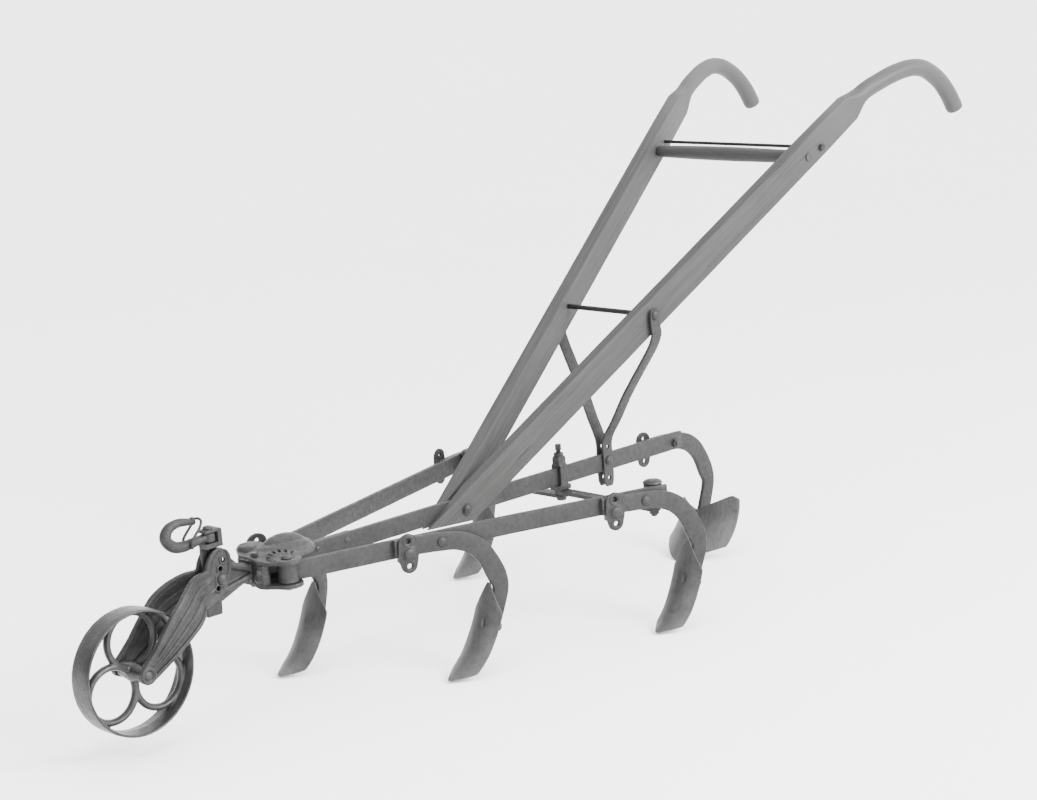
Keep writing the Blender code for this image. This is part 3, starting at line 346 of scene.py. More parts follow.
# each finish is a material and the name of its slot
BAR = (metal_finish("bar_iron", 0.105, 0.17, 0.55, 0.3, 0.3, 300.0), "bar_iron")
CAST = (metal_finish("castings", 0.075, 0.19, 0.46, 0.35, 0.45, 420.0), "castings")
WHEEL_IRON = (metal_finish("wheel_iron", 0.12, 0.33, 0.34, 0.55, 0.35, 380.0, 0.05),
              "wheel_iron")
STEEL = (metal_finish("hardware_steel", 0.11, 0.19, 0.48, 0.4, 0.2, 500.0, 0.05),
         "hardware_steel")
BLADE = (blade_finish("blade_steel"), "blade_steel")
WOOD = (wood_finish("handle_wood"), "handle_wood")


# ---- numbers and outlines -----------------------------------------------------------
def clamp(value):
    return min(1.0, max(0.0, value))


def ease(value):
    """Smooth step from 0 to 1."""
    value = clamp(value)
    return value * value * (3.0 - 2.0 * value)


def around(count):
    """Equally spaced angles of a full turn."""
    return [2.0 * math.pi * k / count for k in range(count)]


def both_ways(length, half):
    """A turned profile that is the same from either end."""
    return half + [(length - distance, radius) for distance, radius in half[::-1]]


def mirrored(spot, side):
    return Vector((spot.x, side * spot.y, spot.z))


def upright(u, v, height):
    return Vector((u, height, v))


def level(u, v, height):
    return Vector((u, v, height))


def arc(u, v, radius, first, last, count):
    return [(u + radius * math.cos(math.radians(first + (last - first) * k / count)),
             v + radius * math.sin(math.radians(first + (last - first) * k / count)))
            for k in range(count + 1)]


def rectangle(low_u, low_v, high_u, high_v):
    return [(low_u, low_v), (high_u, low_v), (high_u, high_v), (low_u, high_v)]


def rounded(half_u, half_v, radius, count=3):
    """Rectangle with rounded corners, as points about its centre."""
    radius = min(radius, half_u * 0.98, half_v * 0.98)
    points = []
    for u, v, start in ((1, 1, 0), (-1, 1, 90), (-1, -1, 180), (1, -1, 270)):
        points += arc(u * (half_u - radius), v * (half_v - radius), radius, start, start + 90,
                      count)
    return points


def smooth_path(points, steps):
    knots = [Vector(point) for point in points]
    ends = [2.0 * knots[0] - knots[1]] + knots + [2.0 * knots[-1] - knots[-2]]
    path = []
    for k in range(1, len(ends) - 2):
        a, b, c, d = ends[k - 1:k + 3]
        for j in range(steps):
            t = j / steps
            path.append(0.5 * (2.0 * b + (c - a) * t + (2.0 * a - 5.0 * b + 4.0 * c - d) * t ** 2
                               + (3.0 * b - a - 3.0 * c + d) * t ** 3))
    return path + [knots[-1]]


def tangents(path):
    last = len(path) - 1
    return [(path[min(k + 1, last)] - path[max(k - 1, 0)]).normalized()
            for k in range(last + 1)]


def frame_for(direction):
    direction = direction.normalized()
    side = UP.cross(direction)
    if side.length < 1e-4:
        side = Vector((1.0, 0.0, 0.0))
    side.normalize()
    return side, direction.cross(side)


# ---- closed shapes ------------------------------------------------------------------
def loft(rings, endless=False):
    """Skin over rings of points; the first and last are capped, or joined to each other."""
    bm = bmesh.new()
    loops = [[bm.verts.new(point) for point in ring] for ring in rings]
    following = loops[1:] + loops[:1] if endless else loops[1:]
    for first, second in zip(loops, following):
        for i in range(len(first)):
            j = (i + 1) % len(first)
            bm.faces.new((first[i], first[j], second[j], second[i]))
    if not endless:
        bm.faces.new(loops[0][::-1])
        bm.faces.new(loops[-1])
    return bm


def turned(start, direction, steps, count=40):
    """Shape turned about an axis; a step is (distance, radius), and where the shape has flat
    sides (distance, radius, how many sides, radius over their corners)."""
    direction = Vector(direction).normalized()
    side, other = frame_for(direction)
    rings = []
    for distance, widest, *flats in steps:
        ring = []
        for angle in around(count):
            radius = widest
            if flats:
                half = math.pi / flats[0]
                within = (angle % (2.0 * half)) - half
                radius = min(radius, flats[1] * math.cos(half) / math.cos(within))
            ring.append(Vector(start) + direction * distance
                        + side * math.cos(angle) * radius + other * math.sin(angle) * radius)
        rings.append(ring)
    return loft(rings)


def rod(start, end, radius, count=32):
    direction = Vector(end) - Vector(start)
    return turned(start, direction, [(0.0, radius), (direction.length, radius)], count)


def nut_steps(base, high, radius, sides=6):
    """A nut's or head's profile: flats, with a turned chamfer at its free end."""
    inside = radius * math.cos(math.pi / sides)
    chamfer = radius - inside
    return [(base, radius, sides, radius), (base + high - chamfer * 0.8, radius, sides, radius),
            (base + high - chamfer * 0.35, radius - chamfer * 0.45, sides, radius),
            (base + high, inside * 0.97, sides, radius), (base + high, inside * 0.9)]


def thread_steps(base, length, radius, pitch=0.0011):
    """Rounded crests along the free end of a screw."""
    steps = []
    turns = max(1, int(length / pitch))
    for k in range(turns):
        low = base + k * length / turns
        steps += [(low, radius * 0.9), (low + 0.5 * length / turns, radius)]
    return steps + [(base + length, radius * 0.84)]


def bolt(start, end, radius, head, nut, stub, style="round"):
    """Head outside the start, nut outside the end, and a threaded stub past the nut;
    head and nut are each (radius, height)."""
    direction = Vector(end) - Vector(start)
    length = direction.length
    wide, high = head
    if style == "round":
        dome = [math.radians(degrees) for degrees in (8, 22, 38, 54, 70, 84)]
        steps = [(-high * math.cos(turn), wide * math.sin(turn)) for turn in dome]
        steps.append((-high * 0.02, wide))
    else:
        sides = {"square": 4, "hex": 6}[style]
        steps = [(-step[0], *step[1:]) for step in nut_steps(0.0, high, wide, sides)][::-1]
    wide, high = nut
    thread = radius * 0.95
    steps += [(0.0, radius), (length, radius)] + nut_steps(length, high, wide)
    steps += [(length + high, thread)] + thread_steps(length + high, stub, thread)
    return turned(start, direction, steps, 48)


def rivet(centre, direction, radius=0.006, high=0.003):
    steps = [(0.0, radius), (high * 0.5, radius * 0.88), (high * 0.85, radius * 0.58),
             (high, radius * 0.25)]
    return turned(centre, direction, steps, 24)


def slab(outline, low, high, place, holes=()):
    """Plate between two heights, from an outline and its holes in (u, v)."""
    bm = bmesh.new()
    loops = [outline, *holes]
    flat = [point for loop in loops for point in loop]
    bottom = [bm.verts.new(place(u, v, low)) for u, v in flat]
    top = [bm.verts.new(place(u, v, high)) for u, v in flat]
    triangles = tessellate_polygon([[Vector((u, v, 0.0)) for u, v in loop] for loop in loops])
    for a, b, c in triangles:
        bm.faces.new((bottom[a], bottom[b], bottom[c]))
        bm.faces.new((top[c], top[b], top[a]))
    first = 0
    for loop in loops:
        for i in range(len(loop)):
            a, b = first + i, first + (i + 1) % len(loop)
            bm.faces.new((bottom[a], bottom[b], top[b], top[a]))
        first += len(loop)
    return bm


def tube(path, radii, count=20):
    """Round bar along a path; radii is one radius or one for each point."""
    rings = []
    side = None
    for k, (point, tangent) in enumerate(zip(path, tangents(path))):
        radius = radii[k] if isinstance(radii, (list, tuple)) else radii
        side = frame_for(tangent)[0] if side is None else side
        side = (side - tangent * side.dot(tangent)).normalized()
        other = tangent.cross(side)
        rings.append([point + side * math.cos(turn) * radius + other * math.sin(turn) * radius
                      for turn in around(count)])
    return loft(rings)


def torus(centre, radius, wide, deep, count=96, ring=16):
    """Ring across Y with an oval rib: wide in the wheel's plane, deep along Y."""
    rings = []
    for turn in around(count):
        spoke = Vector((math.cos(turn), 0.0, math.sin(turn)))
        rings.append([centre + spoke * (radius + wide * math.cos(a)) + SIDEWAYS * deep * math.sin(a)
                      for a in around(ring)])
    return loft(rings, endless=True)


def section(point, tangent, half_wide, half_thick, corner, place):
    """Rounded section of a flat bar, square to its path in (u, v)."""
    normal = Vector((-tangent.y, tangent.x))
    ring = []
    for a, b in rounded(half_wide, half_thick, corner):
        spot = point + normal * a
        ring.append(place(spot.x, spot.y, b))
    return ring


def edge_bar(path, halves, near, far, place, corner=0.0016):
    """A flat bar on edge along a path in (u, v), with rubbed corners."""
    middle, half_thick = (near + far) / 2, abs(far - near) / 2
    rings = []
    for k, (point, tangent, half) in enumerate(zip(path, tangents(path), halves)):
        ends = min(k, len(path) - 1 - k)
        shrink = (0.9, 0.97)[ends] if ends < 2 else 1.0
        rings.append(section(point, tangent, half * (0.5 + 0.5 * shrink), half_thick * shrink,
                             corner, lambda u, v, b: place(u, v, middle + b)))
    return loft(rings)


def straight(start, end, count):
    """Points of a straight path."""
    return [Vector([a + (b - a) * k / count for a, b in zip(start, end)])
            for k in range(count + 1)]


def lump(centre, sizes, count=56):
    """Egg-shaped mass to blend into a casting."""
    bm = bmesh.new()
    bmesh.ops.create_uvsphere(bm, u_segments=count, v_segments=count // 2, radius=1.0)
    for vertex in bm.verts:
        vertex.co = Vector(centre) + Vector([a * b for a, b in zip(vertex.co, sizes)])
    return bm


# ---- pieces -------------------------------------------------------------------------
def new_object(name, bm):
    bmesh.ops.remove_doubles(bm, verts=bm.verts, dist=1e-6)
    bmesh.ops.recalc_face_normals(bm, faces=bm.faces)
    mesh = bpy.data.meshes.new(name)
    bm.to_mesh(mesh)
    bm.free()
    piece = bpy.data.objects.new(name, mesh)
    bpy.context.scene.collection.objects.link(piece)
    return piece


def modify(piece, kind, **settings):
    modifier = piece.modifiers.new(kind, kind)
    for key, value in settings.items():
        setattr(modifier, key, value)


def apply_all(piece):
    """Turn a piece's modifiers into its mesh."""
    bpy.context.view_layer.update()
    graph = bpy.context.evaluated_depsgraph_get()
    mesh = bpy.data.meshes.new_from_object(piece.evaluated_get(graph))
    piece.modifiers.clear()
    old = piece.data
    piece.data = mesh
    bpy.data.meshes.remove(old)


def merged(parts):
    whole = bmesh.new()
    for part in parts:
        mesh = bpy.data.meshes.new("part")
        bmesh.ops.recalc_face_normals(part, faces=part.faces)
        part.to_mesh(mesh)
        part.free()
        whole.from_mesh(mesh)
        bpy.data.meshes.remove(mesh)
    return whole


def roughen(piece, depth, scale):
    """Uneven hand-forged or cast surface."""
    mesh = piece.data
    normals = [vertex.normal.copy() for vertex in mesh.vertices]
    for vertex, normal in zip(mesh.vertices, normals):
        lump = noise.noise(vertex.co * scale) + 0.5 * noise.noise(vertex.co * scale * 2.7)
        vertex.co += normal * lump * depth
    mesh.update()


def add_piece(name, parts, body, finish, nodes=(), cuts=(), voxel=0.0, relax=0, bevel=0.0,
              fuse=False, lumps=0.0, lump_scale=90.0, warp=None):
    """One piece from closed shapes: cut, blended or bevelled, then finished and attached."""
    tools = []
    if fuse:
        piece = new_object(name, parts[0])
        tools = [("UNION", new_object("tool", part)) for part in parts[1:]]
    else:
        piece = new_object(name, merged(parts) if len(parts) > 1 else parts[0])
    if voxel:
        modify(piece, "REMESH", mode="VOXEL", voxel_size=voxel, use_smooth_shade=True)
    tools += [("DIFFERENCE", new_object("tool", part)) for part in cuts]
    for operation, tool in tools:
        modify(piece, "BOOLEAN", operation=operation, object=tool, solver="EXACT")
    if bevel:
        modify(piece, "BEVEL", width=bevel, segments=3, limit_method="ANGLE",
               angle_limit=math.radians(32.0), use_clamp_overlap=True)
    if relax:
        modify(piece, "SMOOTH", factor=0.5, iterations=relax)
    if piece.modifiers:
        apply_all(piece)
    for _, tool in tools:
        bpy.data.objects.remove(tool, do_unlink=True)
    if warp:
        for vertex in piece.data.vertices:
            warp(vertex.co)
        piece.data.update()
    if lumps:
        roughen(piece, lumps, lump_scale)
    piece.data.shade_smooth()
    piece.data.set_sharp_from_angle(angle=math.radians(38.0))
    material, slot = finish
    piece.data.materials.clear()
    piece.data.materials.append(material)
    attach(piece, body)
    if nodes:
        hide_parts(*nodes)
    return piece


def body_of(node):
    return frame["nodes"][node]["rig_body"]


def stand_in(node, parts, finish, **options):
    return add_piece(node + "_shape", parts, body_of(node), finish, (node,), **options)


def casting(node, parts, cuts, voxel, lumps, relax=3, finish=CAST, **options):
    """A cast piece: its shapes are blended into one skin before the holes are cut."""
    stand_in(node, parts, finish, cuts=cuts, voxel=voxel, relax=relax, lumps=lumps, **options)


def cross_bolt(node, x, z, reach, *sizes, finish=STEEL, style="round"):
    """A bolt across the machine, from reach[0] to reach[1]; sizes as in bolt."""
    left, right = reach
    stand_in(node, [bolt((x, left, z), (x, right, z), *sizes, style)], finish)


def bore(x, z, low, high, radius, count=32):
    """A cutter across the machine."""
    return rod((x, low, z), (x, high, z), radius, count)


def upright_bore(x, y, low, high, radius):
    return rod((x, y, low), (x, y, high), radius)


# ---- bar frames ---------------------------------------------------------------------
def side_point(side, s, out, z):
    cos, sin = math.cos(SIDE_ANGLE), math.sin(SIDE_ANGLE)
    along = s * cos - out * sin
    across = s * sin + out * cos
    return Vector((PIVOT_X + along, side * (PIVOT_Y + across), BEAM_Z + z))


def beam_point(side, s, out, z):
    return Vector((s, side * out, BEAM_Z + z))


def hinge_drop(side, s):
    """How far a side bar's centre line lies below its CAD height."""
    return HEAD_DROOP * max(0.0, 1.0 - s / 0.45) if side < 0 else 0.0


# ---- frame bars ---------------------------------------------------------------------
def flat_bar(start, end, count, place):
    """A length of the frame's bar stock, from start to end in (u, v)."""
    path = straight(start, end, count)
    return edge_bar(path, [BAR_HEIGHT / 2] * len(path), -BAR_THICK / 2, BAR_THICK / 2, place)


def build_side_bar(side, word):
    """A side bar with its pivot hub in front and its end boss behind, and the pin in the boss."""
    def place(u, v, height):
        return side_point(side, u, height, v - hinge_drop(side, u))

    bar = flat_bar((HUB_RADIUS * 0.6, 0.0), (SIDE_LENGTH, 0.0), 44, place)
    foot = side_point(side, 0.0, 0.0, -BAR_HEIGHT / 2 - hinge_drop(side, 0.0))
    half = [(0.0, 0.0165), (0.0012, HUB_RADIUS - 0.0003), (0.006, HUB_RADIUS - 0.001)]
    hub = turned(foot, UP, both_ways(BAR_HEIGHT, half), 48)
    pin = side_point(side, END_PIN_S, -END_PIN_INSET, -BAR_HEIGHT / 2 + GAP)
    half = [(0.0, 0.016), (0.0015, END_BOSS_RADIUS)]
    boss = turned(pin, UP, both_ways(BAR_HEIGHT - 2 * GAP, half), 44)
    stand_in("side_bar_" + word, [bar, hub, boss], BAR, fuse=True, lumps=0.00018, lump_scale=35.0)
    shoulder = Vector((pin.x, pin.y, BEAM_Z + BAR_HEIGHT / 2 + GAP))
    steps = [(-0.0076, 0.003), (-0.0074, 0.009), (-0.0062, 0.0145), (-0.0045, 0.0178),
             (-0.0025, 0.0188), (-0.0006, 0.019), (0.0, 0.0182), (0.0, 0.0062),
             (BAR_HEIGHT + 0.006, 0.0062)]
    stand_in("end_pin_" + word, [turned(shoulder, -UP, steps, 44)], STEEL)


def build_bars():
    beam = flat_bar((BEAM_FRONT_X, BEAM_Z), (BEAM_REAR_X, BEAM_Z), 56, upright)
    stand_in("centre_beam", [beam], BAR, lumps=0.00022, lump_scale=35.0)
    for side, word in SIDES:
        build_side_bar(side, word)
    for x in (-0.47, -0.54, -0.61):    # rivets through the neck's tang, on the beam's right
        for side, word in SIDES:
            out = BAR_THICK / 2 + (TANG_THICK if side > 0 else 0.0)
            shape = rivet((x, side * (out - 0.0002), BEAM_Z + 0.003), (0, side, 0))
            add_piece(f"tang_rivet_{word}_{int(-x * 1000)}", [shape], "frame", STEEL)


# ---- tools --------------------------------------------------------------------------
def blade_origin(place):
    middle = BAR_THICK / 2 + GAP + STANDARD_THICK / 2
    origin = place(0.0, 0.0, middle)
    origin.y = place(0.092, 0.0, middle).y
    return origin


def build_tool(word, side, station, frame_point, drop, blade):
    """One tool: its standard, the bolt through the bar, its clamp plate and its blade."""
    face = BAR_THICK / 2 + GAP
    outer = face + STANDARD_THICK

    def place(u, v, height):
        return frame_point(side, station + u, height, v)

    path, halves = [], []
    knots = [(u, v, half) for (u, v), half in zip(STANDARD_PATH, STANDARD_HALF)]
    for knot in smooth_path(knots, 5):    # low down the forging is deeper than in the CAD
        share = clamp((-0.05 - knot.y) / 0.035)
        path.append(Vector((knot.x, knot.y)) + Vector((STANDARD_SHIFT * share, 0.0)))
        halves.append(knot.z + STANDARD_GROWTH * share)
    stand_in("standard_" + word, [edge_bar(path, halves, face, outer, place, 0.002)], BAR,
             lumps=0.0003, lump_scale=30.0)
    inner = place(0.0, -0.003, -BAR_THICK / 2 - GAP)
    outside = place(0.0, -0.003, outer + GAP)
    if station > END_PIN_S:     # this one is a stud screwed into the bar
        length = (place(0.0, -0.003, -0.0012) - outside).length
        steps = [(-0.0056, 0.0014), (-0.005, 0.0048), (-0.0034, 0.0082), (-0.0014, 0.0098),
                 (0.0, 0.01), (0.0, PIN_RADIUS), (length, PIN_RADIUS)]
        shape = turned(outside, inner - outside, steps, 44)
    else:
        shape = bolt(outside, inner, PIN_RADIUS, (0.01, 0.0056), NUT, 0.004)
    stand_in("standard_bolt_" + word, [shape], STEEL)
    build_clamp(word, place, drop, outer + GAP)
    blade(word, place)


def build_clamp(word, place, drop, low):
    """Cast clamp plate: two ears with rolled rims, and a fat boss under the stud."""
    name = "clamp_plate_" + word
    half = [(0.0, 1.0), (0.36, 0.94), (0.66, 0.8), (0.8, 0.58), (0.83, 0.3), (0.88, 0.0),
            (0.8, -0.3), (0.69, -0.6), (0.56, -0.82), (0.3, -0.95), (0.0, -1.0)]
    loop = half + [(-u, v) for u, v in half[-2:0:-1]]
    curve = smooth_path(loop + [loop[0]], 4)[:-1]
    middle = -TOOL_SPACING
    outline = [(middle + CLAMP_HALF_WIDTH * point.x, drop + (CLAMP_HALF_HEIGHT - 0.0003) * point.y)
               for point in curve]
    lip = rectangle(middle - 0.0185, drop - 0.016, middle - 0.0135, drop + 0.016)
    parts = [slab(outline, low, low + 0.0052, place), slab(lip, low - 0.009, low + 0.004, place)]
    ahead = (place(0.0, 0.0, 1.0) - place(0.0, 0.0, 0.0)).normalized()
    rim = [(0.0, 0.0126), (0.005, 0.0126), (0.0066, 0.0112), (0.0071, 0.0088), (0.0064, 0.0066),
           (0.0036, 0.0056)]
    ears = [drop - EAR_OFFSET, drop + EAR_OFFSET]
    parts += [turned(place(middle, v, low), ahead, rim) for v in ears]
    boss = [(0.0, 0.0165), (0.0052, 0.0158), (0.007, 0.0132), (0.0078, 0.0112)]
    parts.append(turned(place(middle, drop, low), ahead, boss, 44))
    cuts = [rod(place(middle, v, low - 0.02), place(middle, v, low + 0.02), 0.0048) for v in ears]
    axis = place(middle, drop, low + 0.003)

    def turn_ear(spot):
        """The upper ear is twisted towards the front."""
        share = clamp((spot.z - BEAM_Z - 0.012) / 0.01)
        angle, grown = -EAR_TWIST * share, 1 + 0.1 * share
        across, along = spot.x - axis.x, spot.y - axis.y
        spot.x = axis.x + (across * math.cos(angle) - along * math.sin(angle)) * grown
        spot.y = axis.y + (across * math.sin(angle) + along * math.cos(angle)) * grown

    casting(name, parts, cuts, 0.0009, 0.0002, warp=turn_ear if word == TWISTED_CLAMP else None)
    steps = [(0.0, 0.0108), (0.0018, 0.011), (0.0036, 0.0102), (0.0052, 0.0082),
             (0.006, 0.0052), (0.0063, 0.0018)]
    stud = turned(place(middle, drop, low + 0.007), ahead, steps)
    add_piece("clamp_stud_" + word, [stud], body_of(name), STEEL)


def tooth_rings(origin, profile, columns=16):
    """Sections across a narrow tooth, from its top to its tip; both ends are pointed."""
    path = smooth_path(profile, 6)
    last = len(path) - 1
    rings = []
    for k, (point, tangent) in enumerate(zip(path, tangents(path))):
        normal = Vector((-tangent.y, tangent.x))
        reach = min(1.0, 0.08 + 3.4 * k / last, 0.16 + 4.2 * (last - k) / last)
        front, back = [], []
        for c in range(columns + 1):
            across = (2.0 * c / columns - 1.0) * reach
            spot = point + normal * TOOTH_CROWN * across * across
            y = across * TOOTH_WIDTH / 2 * (1.0 + 0.1 * math.cos(math.pi * (k / last - 0.35)))
            front.append(origin + Vector((spot.x, y, spot.y)))
            thin = TOOTH_THICK * (1.0 - 0.62 * abs(2.0 * c / columns - 1.0) ** 5)
            thin *= min(1.0, 0.35 + 6.0 * (last - k) / last)
            spot = spot + normal * thin
            back.append(origin + Vector((spot.x, y, spot.y)))
        rings.append(front + back[::-1])
    return rings


def add_tooth(word, place):
    origin = blade_origin(place)
    lead, top, tip = TIP_LEAD.get(word, 0.0), TOOTH_PROFILE[0][1], TOOTH_PROFILE[-1][1]

    def led(u, v):
        """The whole tooth leans forward towards its tip by its lead."""
        return u - lead * ((top - v) / (top - tip)) ** 2, v

    shape = loft(tooth_rings(origin, [led(u, v) for u, v in TOOTH_PROFILE]))
    stand_in("tooth_" + word, [shape], BLADE, lumps=0.0002, lump_scale=45.0)
    u, v = led(*TOOTH_BOLT_AT)
    add_blade_bolt(word, origin + Vector((u, 0.0, v)), place)


def add_shovel(word, place):
    """V-shaped shovel: its wings sweep back from a middle edge, and one stands higher."""
    origin = blade_origin(place)
    rings = []
    columns, rows = 36, 30
    for k in range(rows + 1):
        t = k / rows
        front, back = [], []
        for c in range(columns + 1):
            across = 2.0 * c / columns - 1.0
            wing = abs(across)
            rise = 0.036 if across < 0.0 else 0.014
            high = -0.166 + rise * wing - 0.1 * max(0.0, wing - 0.86)
            low = -0.262 + 0.026 * wing
            z = high + (low - high) * t
            drop = 0.13 + 0.87 * t
            lean = 0.0722 - 0.012 * drop - 0.06 * drop * drop
            soft = math.sqrt(wing * wing + 0.0012) - 0.0346    # rounds the middle edge
            x = lean + (0.046 + 0.026 * t) * soft ** 1.5 if soft > 0 else lean
            y = across * SHOVEL_HALF_SPAN
            front.append(origin + Vector((x, y, z)))
            thin = TOOTH_THICK * (1.0 + 0.35 * wing) * (1.0 - 0.72 * t ** 8)
            back.append(origin + Vector((x + thin, y, z)))
        rings.append(front + back[::-1])
    stand_in("shovel_" + word, [loft(rings)], BLADE, lumps=0.0002, lump_scale=40.0)
    add_blade_bolt(word, origin + Vector((0.062, 0.0, -0.173)), place, 0.0088)


def add_blade_bolt(word, point, place, sunk=0.0022):
    """Its low head lies in the blade's face, and its nut behind the standard."""
    direction = (place(0.92, -0.38, 0.0) - place(0.0, 0.0, 0.0)).normalized()
    start = point - direction * 0.003
    end = point + direction * 0.0375
    shape = bolt(start + direction * sunk, end - direction * 0.004, 0.0042, (0.0086, 0.0006),
                 (0.008, 0.0055), 0.002)
    stand_in("blade_bolt_" + word, [shape], BLADE)


# ---- wheel --------------------------------------------------------------------------
def wheel_rim(count=120):
    inner, outer, half = WHEEL_RADIUS - RIM_THICK, WHEEL_RADIUS, WHEEL_WIDTH / 2
    edge = [(half - 0.0012, inner + 0.0008), (half, inner + 0.0022), (half, outer - 0.0022),
            (half - 0.0016, outer - 0.0006), (half * 0.55, outer)]
    inside = [(half * 0.4, inner - 0.0012), (0.0, inner - 0.0024), (-half * 0.4, inner - 0.0012)]
    profile = [(-across, radius) for across, radius in edge] + edge[::-1] + inside
    return loft([[(WHEEL_X + radius * math.cos(angle), across, WHEEL_Z + radius * math.sin(angle))
                  for across, radius in profile] for angle in around(count)], endless=True)


def build_wheel():
    """Flat rim, a web of three rings that touch the rim and each other, and a long hub."""
    inner = WHEEL_RADIUS - RIM_THICK
    ring_pitch = inner / (1.0 + 2.0 / math.sqrt(3.0)) * (2.0 / math.sqrt(3.0))
    ring_radius = ring_pitch * math.sqrt(3.0) / 2.0
    parts = [wheel_rim()]
    for k in range(3):
        turn = math.radians(90.0 + 120.0 * k)
        centre = Vector((WHEEL_X + ring_pitch * math.cos(turn), 0.0,
                         WHEEL_Z + ring_pitch * math.sin(turn)))
        parts.append(torus(centre, ring_radius - 0.0006, 0.0063, 0.0078))
    reach = ARM_SPREAD - ARM_THICK / 2 - GAP
    half = [(0.0, 0.0118), (0.0012, 0.013), (reach * 0.5, 0.015), (reach - 0.006, 0.0168)]
    parts.append(turned((WHEEL_X, -reach, WHEEL_Z), SIDEWAYS, both_ways(2 * reach, half), 56))
    hole = bore(WHEEL_X, WHEEL_Z, -0.06, 0.06, AXLE_RADIUS + 0.0006, 40)
    casting("wheel", parts, [hole], 0.0013, 0.0003, 4, WHEEL_IRON, lump_scale=60.0)


# ---- fork ---------------------------------------------------------------------------
def arm_ridge(path, curve, shift, side, out_at):
    """A rounded ridge along the outside of an arm, which fades before the wheel's eye."""
    first, last = 18, len(path) - 10
    slopes = tangents(path)
    ridge, widths = [], []
    for k in range(first, last + 1):
        normal = Vector((-slopes[k].y, slopes[k].x))
        spot = path[k] + normal * shift * curve[k].z
        ridge.append(Vector((spot.x, side * (out_at(path[k].x) + 0.0016), spot.y)))
        share = (k - first) / (last - first)
        swell = math.sin(math.pi * min(1.0, share * 1.15)) ** 0.5 if share < 0.87 else 0.0
        widths.append(0.002 + 0.002 * swell)
    return tube(ridge, widths, 12)


def build_arm(side, word):
    """A channelled arm: a thin web between two flanges, ridges, and an eye at the wheel."""
    seat = ARM_SEAT[word]
    curve = smooth_path([(u, v, half) for (u, v), half in zip(ARM_PATH, ARM_HALF)], 5)
    path = [Vector((point.x, point.y)) for point in curve]

    def out_at(x):
        return seat + (ARM_SPREAD - seat) * ease((-0.795 - x) / 0.075)

    web, flanges = [], [[], []]
    for point, tangent, knot in zip(path, tangents(path), curve):
        def place(u, v, height):
            return Vector((u, side * (out_at(point.x) + height), v))

        web.append(section(point, tangent, knot.z, 0.0012, 0.001, place))
        normal = Vector((-tangent.y, tangent.x))
        deep = ARM_THICK / 2 + 0.002 * clamp((-0.815 - point.x) / 0.03)
        for rings, sign, broad in zip(flanges, (-1, 1), (0.0056, 0.004)):
            broad = min(broad, 0.45 * knot.z)
            edge = point + normal * sign * max(0.0005, knot.z - broad + 0.0006)
            rings.append(section(edge, tangent, broad, deep, 0.0028, place))
    parts = [loft(web), loft(flanges[0]), loft(flanges[1])]
    parts += [arm_ridge(path, curve, shift, side, out_at) for shift in (-0.26, 0.32)]
    for x, z, radius, thick in ((FORK_X, FORK_Z, 0.0145, ARM_THICK),
                                (WHEEL_X, WHEEL_Z, 0.016, ARM_THICK + 0.0004)):
        base = Vector((x, side * (out_at(x) - ARM_THICK / 2), z))
        steps = [(0.0, radius), (thick - 0.001, radius), (thick, radius - 0.001)]
        parts.append(turned(base, SIDEWAYS * side, steps, 44))
    eye = Vector((WHEEL_X, side * (ARM_SPREAD + ARM_THICK / 2 + 0.0004), WHEEL_Z))
    parts.append(torus(eye, 0.0128, 0.0036, 0.003, 64, 12))
    cuts = [bore(FORK_X, FORK_Z, side * 0.06, side * 0.002, PIN_BORE),
            bore(WHEEL_X, WHEEL_Z, side * 0.06, side * 0.002, AXLE_RADIUS + 0.0004)]
    collar = [(0.0, 0.0078), (0.0052, 0.0078), (0.0064, 0.0066)]
    for x, z in ((-0.76, 0.301), (-0.7675, 0.2864), (-0.7755, 0.2524)):
        parts.append(turned((x, side * (seat - 0.002), z), SIDEWAYS * side, collar, 32))
        cuts.append(bore(x, z, side * 0.03, side * 0.001, 0.0046))
    casting("fork_arm_" + word, parts, cuts, 0.001, 0.00025)


def build_fork():
    for side, word in SIDES:
        build_arm(side, word)
    flank = ARM_THICK / 2 + GAP
    cross_bolt("fork_bolt", FORK_X, FORK_Z, (-ARM_SEAT["left"] - flank, ARM_SEAT["right"] + flank),
               PIN_RADIUS, (0.0105, 0.007), (0.0095, 0.008), 0.005)
    out = ARM_SPREAD + flank
    cross_bolt("wheel_axle", WHEEL_X, WHEEL_Z, (-out, out), AXLE_RADIUS, (0.0078, 0.0026),
               (0.0095, 0.006), 0.003, finish=BLADE)


# ---- head, neck and draft gear ------------------------------------------------------
def head_outline():
    right = [(-0.698, 0.026)] + arc(PIVOT_X, PIVOT_Y, LOBE_RADIUS, 155.0, -35.0, 28)
    right += [(-0.59, 0.026), (-0.566, 0.012)]
    return right + [(u, -v) for u, v in reversed(right)]


def head_warp(spot):
    """The castings follow the left hinge down."""
    spot.z -= HEAD_DROOP * ease((-0.008 - spot.y) / 0.03)


